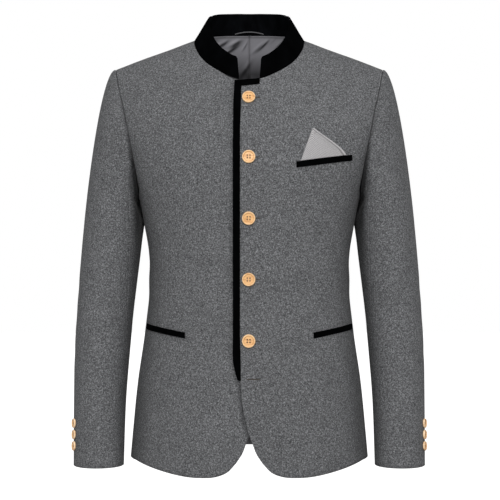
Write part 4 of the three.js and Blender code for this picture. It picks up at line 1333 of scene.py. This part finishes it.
class Finish:
    """A material being made: each node is added by kind, with its settings and its inputs."""

    def __init__(self, name):
        self.material = bpy.data.materials.new(name)
        self.material.use_nodes = True
        self.tree = self.material.node_tree
        self.tree.nodes.clear()
        self.places = self.node("TexCoord")

    def node(self, kind, inputs=None, **settings):
        """A node whose inputs are numbers, colours or other nodes' outputs."""
        made = self.tree.nodes.new(f"ShaderNode{kind}")
        for key, value in settings.items():
            setattr(made, key, value)
        for key, value in (inputs or {}).items():
            if isinstance(value, bpy.types.NodeSocket):
                self.tree.links.new(value, made.inputs[key])
            else:
                made.inputs[key].default_value = value
        return made

    def noise(self, scale, detail, roughness, stretch=None):
        """Noise with so many spots to the metre, stretched along the axes if asked."""
        vector = self.places.outputs["Object"]
        if stretch:
            vector = self.node("Mapping", {"Vector": vector, "Scale": stretch}).outputs[0]
        made = self.node("TexNoise", {
            "Vector": vector, "Scale": scale, "Detail": detail, "Roughness": roughness,
        })
        return made.outputs["Fac"]

    def ribs(self, period, distortion):
        """Slanting ribs a distance apart on the flat cloth, in metres, a little uneven."""
        made = self.node("TexWave", {
            "Vector": self.places.outputs["UV"], "Scale": WAVE_REACH / period,
            "Distortion": distortion, "Detail": 1.0, "Detail Scale": 1.5,
        }, bands_direction="DIAGONAL")
        return made.outputs["Fac"]

    def math(self, operation, first, second):
        """A sum, product or other combination of two values."""
        return self.node("Math", {0: first, 1: second}, operation=operation).outputs[0]

    def sum_of(self, first, first_share, second, second_share):
        """Two values, each times its share, added."""
        return self.math("ADD", self.math("MULTIPLY", first, first_share),
                         self.math("MULTIPLY", second, second_share))

    def between(self, value, low, high):
        """A value from low to high as a noise runs through its middle range."""
        return self.node("MapRange", {
            "Value": value, "From Min": 0.3, "From Max": 0.7, "To Min": low, "To Max": high,
        }).outputs[0]

    def tone(self):
        """The tone that the mesh keeps at its points, mostly painted shade."""
        return self.node("Attribute", attribute_name="tone").outputs["Fac"]

    def ramp(self, factor, *stops):
        """Colours along a factor, each stop a position and a colour."""
        made = self.node("ValToRGB", {"Fac": factor})
        elements = made.color_ramp.elements
        while len(elements) < len(stops):
            elements.new(0.5)
        for element, (position, colour) in zip(elements, stops):
            element.position = position
            element.color = (*map(float, colour), 1)
        return made.outputs["Color"]

    def mix(self, factor, first, second, blend="MIX"):
        """Two colours mixed by a factor."""
        made = self.node("Mix", data_type="RGBA", blend_type=blend)
        for index, value in ((0, factor), (6, first), (7, second)):
            if isinstance(value, bpy.types.NodeSocket):
                self.tree.links.new(value, made.inputs[index])
            else:
                made.inputs[index].default_value = value
        return made.outputs[2]

    def with_painted_shade(self, colour, least):
        """A colour darkened by painted shade, towards a least share of itself where the mesh's
        tone is 1.
        """
        span = {"Value": self.tone(), "To Min": 1.0, "To Max": least}
        share = self.node("MapRange", span).outputs[0]
        return self.mix(share, (0, 0, 0, 1), colour)

    def surface(self, colour, height=None, bump=0.0002, strength=0.6, **sockets):
        """The shader, with its even values on its own sockets, and a bump from a height."""
        inputs = {"Base Color": colour}
        inputs.update({key.replace("_", " "): value for key, value in sockets.items()})
        if height is not None:
            bumped = self.node("Bump", {"Height": height, "Distance": bump, "Strength": strength})
            inputs["Normal"] = bumped.outputs[0]
        shader = self.node("BsdfPrincipled", inputs)
        self.node("OutputMaterial", {"Surface": shader.outputs[0]})
        return self.material


def shade(colour, factor):
    """A colour made lighter or darker."""
    return tuple(min(1, part * factor) for part in colour)


def wool_finish(colour):
    """Heathered flannel: pale and dark fibres mixed at the scale of the yarn, over a fine twill
    that the nap half hides."""
    finish = Finish("wool_flannel")
    fibres = finish.noise(430, 3, 0.8)
    flecks = finish.noise(800, 1, 0.5)
    clouds = finish.noise(26, 2, 0.5)
    mixed = finish.sum_of(fibres, 0.66, flecks, 0.34)
    body = finish.ramp(
        mixed,
        (0.35, shade(colour, 0.24)),
        (0.45, shade(colour, 0.66)),
        (0.53, shade(colour, 1.13)),
        (0.65, shade(colour, 2.5)),
    )
    cloudy = finish.ramp(clouds, (0.3, (0.9, 0.9, 0.9)), (0.7, (1, 1, 1)))
    # Painted shade: the cloth darkens to 3% of its colour where the mesh's tone is 1.
    painted_shaded = finish.with_painted_shade(finish.mix(1.0, body, cloudy, "MULTIPLY"), 0.03)
    twill = finish.ribs(0.0011, distortion=0.6)
    return finish.surface(
        painted_shaded, finish.sum_of(twill, 0.35, mixed, 1.0), bump=0.0005, strength=0.7,
        Roughness=finish.between(mixed, 0.98, 0.82), Sheen_Weight=0.07, Sheen_Roughness=0.5,
        Specular_IOR_Level=0.12,
    )


def velvet_finish(colour, name="velvet_pile"):
    """Short-pile velvet, almost black, with a thin sheen that the pile's lean makes uneven."""
    finish = Finish(name)
    pile = finish.noise(1500, 2, 0.7)
    lean = finish.noise(60, 3, 0.6, stretch=(1, 1, 0.4))
    body = finish.ramp(lean, (0.35, shade(colour, 0.5)), (0.7, shade(colour, 1.6)))
    return finish.surface(
        body, finish.sum_of(pile, 1.0, lean, 0.6), bump=0.0004, strength=0.5,
        Roughness=finish.between(pile, 0.75, 0.95), Sheen_Weight=0.004, Sheen_Roughness=0.4,
        Sheen_Tint=(0.75, 0.88, 0.95, 1), Specular_IOR_Level=0.01,
    )


def satin_finish(colour, name="satin", paints_shade=False):
    """Lining satin: a smooth cloth with a soft gloss and fine lengthwise threads. When asked, it
    has painted shade: darker in the hollow of the back than at the neck, and darker by its tone."""
    finish = Finish(name)
    threads = finish.noise(900, 2, 0.6, stretch=(1, 1, 0.08))
    clouds = finish.noise(34, 2, 0.5)
    body = finish.mix(clouds, (*shade(colour, 0.86), 1), (*shade(colour, 1.12), 1))
    # Painted shade: darker from the neck down into the hollow of the back, and where the tone is
    # high.
    if paints_shade:
        height = finish.node("SeparateXYZ", {0: finish.places.outputs["Object"]}).outputs["Z"]
        depth = finish.node("MapRange", {
            "Value": height, "From Min": -0.046, "From Max": -0.012, "To Min": 0.17, "To Max": 1,
        }).outputs[0]
        body = finish.with_painted_shade(finish.mix(depth, (0, 0, 0, 1), body), 0.16)
    return finish.surface(
        body, threads, bump=0.0001, strength=0.4, Roughness=finish.between(threads, 0.3, 0.46),
        Sheen_Weight=0.1, Specular_IOR_Level=0.5,
    )


def twill_finish(colour):
    """The pocket square's twill: fine slanting ribs of a paler and a darker thread."""
    finish = Finish("pocket_square_twill")
    ribs = finish.ribs(0.0022, distortion=0.3)
    threads = finish.noise(700, 2, 0.6)
    mixed = finish.sum_of(ribs, 0.6, threads, 0.4)
    body = finish.ramp(mixed, (0.2, shade(colour, 0.6)), (0.75, shade(colour, 1.58)))
    # Painted shade: the twill darkens to 15% where the mesh's tone is 1.
    return finish.surface(
        finish.with_painted_shade(body, 0.15), finish.sum_of(ribs, 1.0, threads, 0.4), bump=0.0003,
        strength=0.5, Roughness=0.75, Sheen_Weight=0.1, Specular_IOR_Level=0.25,
    )


# The wood's colour times these, from the button's rim, painted paler as a highlight, through a
# painted shadow ring and the dish's own warmer tone to a hole, painted dark as shade
WOOD_TONES_AND_SHADES = {
    0: (1.28, 1.33, 1.4),
    0.22: (0.98, 0.82, 0.6),
    0.5: (1.14, 1.03, 0.86),
    0.72: (0.5, 0.32, 0.24),
    1: (0.12, 0.06, 0.06),
}


def wood_finish(colour, name="button_wood_grain"):
    """Pale varnished wood: long grain lines over the button's tones, with a painted highlight on
    the rim, a painted shadow ring inside it, a warmer dish and painted shade in the holes."""
    finish = Finish(name)
    grain = finish.noise(110, 4, 0.7, stretch=(0.5, 1, 2.2))
    pores = finish.noise(900, 2, 0.7, stretch=(0.12, 1, 1.6))
    mixed = finish.sum_of(grain, 0.7, pores, 0.3)
    streaks = finish.ramp(
        mixed, (0.36, (0.68, 0.5, 0.36)), (0.5, (0.96, 0.93, 0.88)), (0.6, (1, 1, 1))
    )
    steps = WOOD_TONES_AND_SHADES.items()
    face = finish.ramp(finish.tone(), *((at, tuple(np.multiply(colour, by))) for at, by in steps))
    return finish.surface(
        finish.mix(1.0, face, streaks, "MULTIPLY"), mixed, bump=0.0001, strength=0.4,
        Roughness=finish.between(pores, 0.36, 0.52), Coat_Weight=0.15, Coat_Roughness=0.3,
        Specular_IOR_Level=0.4,
    )


def thread_finish(name, colour):
    """Sewing thread: two tones of a twisted yarn."""
    finish = Finish(name)
    twist = finish.noise(2200, 1, 0.5)
    body = finish.mix(twist, (*shade(colour, 0.6), 1), (*shade(colour, 1.3), 1))
    return finish.surface(
        body, twist, bump=0.0001, strength=0.5, Roughness=0.8, Specular_IOR_Level=0.2,
    )


def floor_finish(colour):
    """A plain pale studio floor, blown out to white where it is seen, as in the photograph."""
    finish = Finish("studio_floor")
    grain = finish.noise(3, 2, 0.5)
    body = finish.mix(grain, (*shade(colour, 0.96), 1), (*colour, 1))
    seen = finish.node("LightPath").outputs["Is Camera Ray"]
    return finish.surface(
        body, Roughness=0.9, Emission_Color=(1, 1, 1, 1), Emission_Strength=seen,
        Specular_IOR_Level=0.1,
    )


def colour_setting(name, description, default):
    """A colour that a user can change."""
    return FloatVectorProperty(
        name=name, description=description, default=default, subtype="COLOR", size=3,
        min=0, max=1,
    )


class BlazerColours(bpy.types.PropertyGroup):
    """Colours of the cloth, the trims and the buttons."""

    wool: colour_setting("Wool", "Mean colour of the heathered wool", SLOT_COLOURS["wool"])
    velvet: colour_setting("Velvet", "Colour of the collar and trims", (0.0008, 0.0009, 0.0011))
    satin: colour_setting("Satin", "Colour of the lining", SLOT_COLOURS["satin_lining"])
    twill: colour_setting("Twill", "Colour of the pocket square", SLOT_COLOURS["pocket_twill"])
    wood: colour_setting("Wood", "Colour of the front buttons", SLOT_COLOURS["button_wood"])
    cuff_wood: colour_setting("Cuff wood", "Colour of the cuff buttons", (0.84, 0.6, 0.38))
    thread: colour_setting("Button thread", "Colour of the buttons' thread", (0.5, 0.36, 0.22))
    stitches: colour_setting("Stitches", "Colour of the buttonhole stitches",
                             (0.085, 0.075, 0.066))


class BlazerStage(bpy.types.PropertyGroup):
    """The floor and the light."""

    floor_height: FloatProperty(
        name="Floor height", description="Height of the floor below the neck", default=-0.95,
        unit="LENGTH",
    )
    key_power: FloatProperty(
        name="Key light", description="Power of the large soft light in front, in watts",
        default=75, min=0,
    )
    key_size: FloatProperty(
        name="Key size", description="Width of the large soft light", default=1.8, min=0.1,
        unit="LENGTH",
    )
    fill: FloatProperty(
        name="Fill", description="Brightness of the even light from the front", default=0.85,
        min=0, max=2, subtype="FACTOR",
    )


finishes = {}


def finish_named(name):
    """A finish of the blazer, made the first time that it is asked for."""
    if name not in finishes:
        colours = bpy.context.scene.blazer_colours
        makers = {
            "wool": lambda: wool_finish(colours.wool),
            "velvet": lambda: velvet_finish(colours.velvet),
            # The collar's inner face: the same velvet three times lighter, as painted light.
            "facing": lambda: velvet_finish(shade(colours.velvet, 3), "velvet_facing_painted_lighter"),
            # The neck lining: the satin made 1.9 times lighter, with painted shade that darkens it
            # down into the back.
            "neck_lining": lambda: satin_finish(shade(colours.satin, 1.9), "neck_satin_painted_shade", True),
            "loop": lambda: satin_finish(shade(colours.satin, 0.42), "loop_satin"),
            "satin": lambda: satin_finish(colours.satin),
            "twill": lambda: twill_finish(colours.twill),
            "wood": lambda: wood_finish(colours.wood),
            "cuff_wood": lambda: wood_finish(colours.cuff_wood, "cuff_button_wood_grain"),
            "thread": lambda: thread_finish("button_thread", colours.thread),
            "stitches": lambda: thread_finish("buttonhole_stitches", colours.stitches),
            # The slit: a near-black patch, painted shade in the cut.
            "slit": lambda: thread_finish("buttonhole_slit_shade", (0.035, 0.028, 0.022)),
            "floor": lambda: floor_finish((0.5, 0.5, 0.5)),
        }
        finishes[name] = makers[name]()
    return finishes[name]


class BLAZER_OT_body(bpy.types.Operator):
    """Makes the fronts, the side panels and the backs"""

    bl_idname = "blazer.body"
    bl_label = "Make body"

    def execute(self, context):
        wool, lining = finish_named("wool"), finish_named("satin")
        for label, mirrored in SIDES:
            front_panel(label, mirrored, wool, lining)
            side_panel(label, mirrored, wool, lining)
            back_panel(label, mirrored, wool, lining)
        return {"FINISHED"}


class BLAZER_OT_sleeves(bpy.types.Operator):
    """Makes both two-piece sleeves"""

    bl_idname = "blazer.sleeves"
    bl_label = "Make sleeves"

    def execute(self, context):
        for label, mirrored in SIDES:
            sleeves(label, mirrored, finish_named("wool"), finish_named("satin"))
        return {"FINISHED"}


class BLAZER_OT_collar(bpy.types.Operator):
    """Makes the velvet band collar"""

    bl_idname = "blazer.collar"
    bl_label = "Make collar"

    def execute(self, context):
        collar(finish_named("velvet"), finish_named("facing"))
        return {"FINISHED"}


class BLAZER_OT_trims(bpy.types.Operator):
    """Makes the front strip, the lap's top trim and the three welts"""

    bl_idname = "blazer.trims"
    bl_label = "Make trims"

    def execute(self, context):
        velvet = finish_named("velvet")
        front_strip(velvet)
        lap_trim(velvet)
        welt("chest_welt", CHEST_WELT, False, velvet, "front_left_cloth")
        for label, mirrored in SIDES:
            welt(f"hip_welt_{label}", HIP_WELT, mirrored, velvet, f"front_{label}_cloth")
        return {"FINISHED"}


class BLAZER_OT_pocket_square(bpy.types.Operator):
    """Makes the folded pocket square"""

    bl_idname = "blazer.pocket_square"
    bl_label = "Make pocket square"

    def execute(self, context):
        pocket_square(finish_named("twill"))
        return {"FINISHED"}


class BLAZER_OT_lining(bpy.types.Operator):
    """Makes the creased lining of the neck and the hanger loop"""

    bl_idname = "blazer.lining"
    bl_label = "Make lining"

    def execute(self, context):
        for label, mirrored in SIDES:
            lining_half(label, mirrored, finish_named("neck_lining"))
        hanger_loop(finish_named("loop"))
        return {"FINISHED"}


class BLAZER_OT_buttonholes(bpy.types.Operator):
    """Makes the six worked buttonholes of the front"""

    bl_idname = "blazer.buttonholes"
    bl_label = "Make buttonholes"

    def execute(self, context):
        buttonholes(finish_named("stitches"), finish_named("slit"))
        return {"FINISHED"}


class BLAZER_OT_buttons(bpy.types.Operator):
    """Makes the wooden buttons and their thread"""

    bl_idname = "blazer.buttons"
    bl_label = "Make buttons"

    def execute(self, context):
        buttons(finish_named("wood"), finish_named("cuff_wood"), finish_named("thread"))
        return {"FINISHED"}


def disc(name, radius, sides, z):
    """A flat round floor as one fan of triangles, in millimetres."""
    turn = np.linspace(0, 2 * np.pi, sides, endpoint=False)
    rim = np.stack([radius * np.cos(turn), radius * np.sin(turn), np.full(sides, z)], -1)
    verts = np.concatenate([[[0, 0, z]], rim])
    spot = np.arange(sides)
    faces = np.stack([np.zeros(sides, int), spot + 1, (spot + 1) % sides + 1], -1)
    return mesh_object(name, verts, faces)


class BLAZER_OT_stage(bpy.types.Operator):
    """Makes the floor, the soft light and the camera"""

    bl_idname = "blazer.stage"
    bl_label = "Make stage"

    def execute(self, context):
        scene = context.scene
        settings = scene.blazer_stage
        floor = disc("floor", 9000, 96, settings.floor_height / MM)
        floor.data.materials.append(finish_named("floor"))
        self.light(settings)
        self.world(scene, settings)
        self.camera(scene)
        scene.view_settings.view_transform = "Standard"
        return {"FINISHED"}

    def light(self, settings):
        """One large soft light behind the camera, a little above it."""
        data = bpy.data.lights.new("key", "AREA")
        data.shape = "DISK"
        data.size = settings.key_size
        data.energy = settings.key_power
        key = bpy.data.objects.new("key", data)
        key.location = (0, -3.4, 1.2)
        key.rotation_euler = (math.radians(66), 0, 0)
        bpy.context.scene.collection.objects.link(key)

    def world(self, scene, settings):
        """A white surround whose light comes from in front and above, and fades to the sides."""
        world = bpy.data.worlds.new("studio")
        world.use_nodes = True
        tree = world.node_tree
        tree.nodes.clear()
        new = tree.nodes.new
        places, path = new("ShaderNodeTexCoord"), new("ShaderNodeLightPath")
        facing, fade = new("ShaderNodeVectorMath"), new("ShaderNodeMapRange")
        fill, white = new("ShaderNodeBackground"), new("ShaderNodeBackground")
        either, end = new("ShaderNodeMixShader"), new("ShaderNodeOutputWorld")
        facing.operation = "DOT_PRODUCT"
        facing.inputs[1].default_value = (0, -0.86, 0.5)
        for name, value in (("From Min", -0.05), ("From Max", 1), ("To Min", 0.16),
                            ("To Max", settings.fill)):
            fade.inputs[name].default_value = value
        for background in (fill, white):
            background.inputs["Color"].default_value = (1, 1, 1, 1)
        link = tree.links.new
        link(places.outputs["Generated"], facing.inputs[0])
        link(facing.outputs["Value"], fade.inputs["Value"])
        link(fade.outputs[0], fill.inputs["Strength"])
        link(path.outputs["Is Camera Ray"], either.inputs[0])
        link(fill.outputs[0], either.inputs[1])
        link(white.outputs[0], either.inputs[2])
        link(either.outputs[0], end.inputs["Surface"])
        scene.world = world

    def camera(self, scene):
        """A level camera with the photograph's angle and distance."""
        data = bpy.data.cameras.new("camera")
        data.sensor_width = 36
        data.lens = data.sensor_width * FOCAL_PX / FRAME_PX
        data.shift_x = (FRAME_PX / 2 - MIDDLE_PX) / FRAME_PX
        camera = bpy.data.objects.new("camera", data)
        camera.location = (0, -CAMERA_DISTANCE, CAMERA_Z)
        camera.rotation_euler = (math.pi / 2, 0, 0)
        scene.collection.objects.link(camera)
        scene.camera = camera


OPERATORS = (
    BLAZER_OT_stage,
    BLAZER_OT_collar,
    BLAZER_OT_body,
    BLAZER_OT_sleeves,
    BLAZER_OT_trims,
    BLAZER_OT_pocket_square,
    BLAZER_OT_lining,
    BLAZER_OT_buttonholes,
    BLAZER_OT_buttons,
)


class BLAZER_PT_panel(bpy.types.Panel):
    """Lists the blazer's makers and settings in the sidebar"""

    bl_idname = "BLAZER_PT_panel"
    bl_label = "Blazer"
    bl_space_type = "VIEW_3D"
    bl_region_type = "UI"
    bl_category = "Blazer"

    def draw(self, context):
        for operator in OPERATORS:
            self.layout.operator(operator.bl_idname)
        for group in (context.scene.blazer_colours, context.scene.blazer_stage):
            for name in group.__annotations__:
                self.layout.prop(group, name)


CLASSES = (BlazerColours, BlazerStage, *OPERATORS, BLAZER_PT_panel)


def register():
    """Registers the classes and the settings."""
    for kind in CLASSES:
        bpy.utils.register_class(kind)
    bpy.types.Scene.blazer_colours = PointerProperty(type=BlazerColours)
    bpy.types.Scene.blazer_stage = PointerProperty(type=BlazerStage)


def unregister():
    """Removes the settings and the classes."""
    del bpy.types.Scene.blazer_colours
    del bpy.types.Scene.blazer_stage
    for kind in reversed(CLASSES):
        bpy.utils.unregister_class(kind)


def main():
    """Makes the whole blazer and its stage."""
    register()
    bpy.ops.blazer.stage()
    bpy.ops.blazer.collar()
    bpy.ops.blazer.body()
    bpy.ops.blazer.sleeves()
    bpy.ops.blazer.trims()
    bpy.ops.blazer.pocket_square()
    bpy.ops.blazer.lining()
    bpy.ops.blazer.buttonholes()
    bpy.ops.blazer.buttons()


if __name__ == "__main__":
    main()
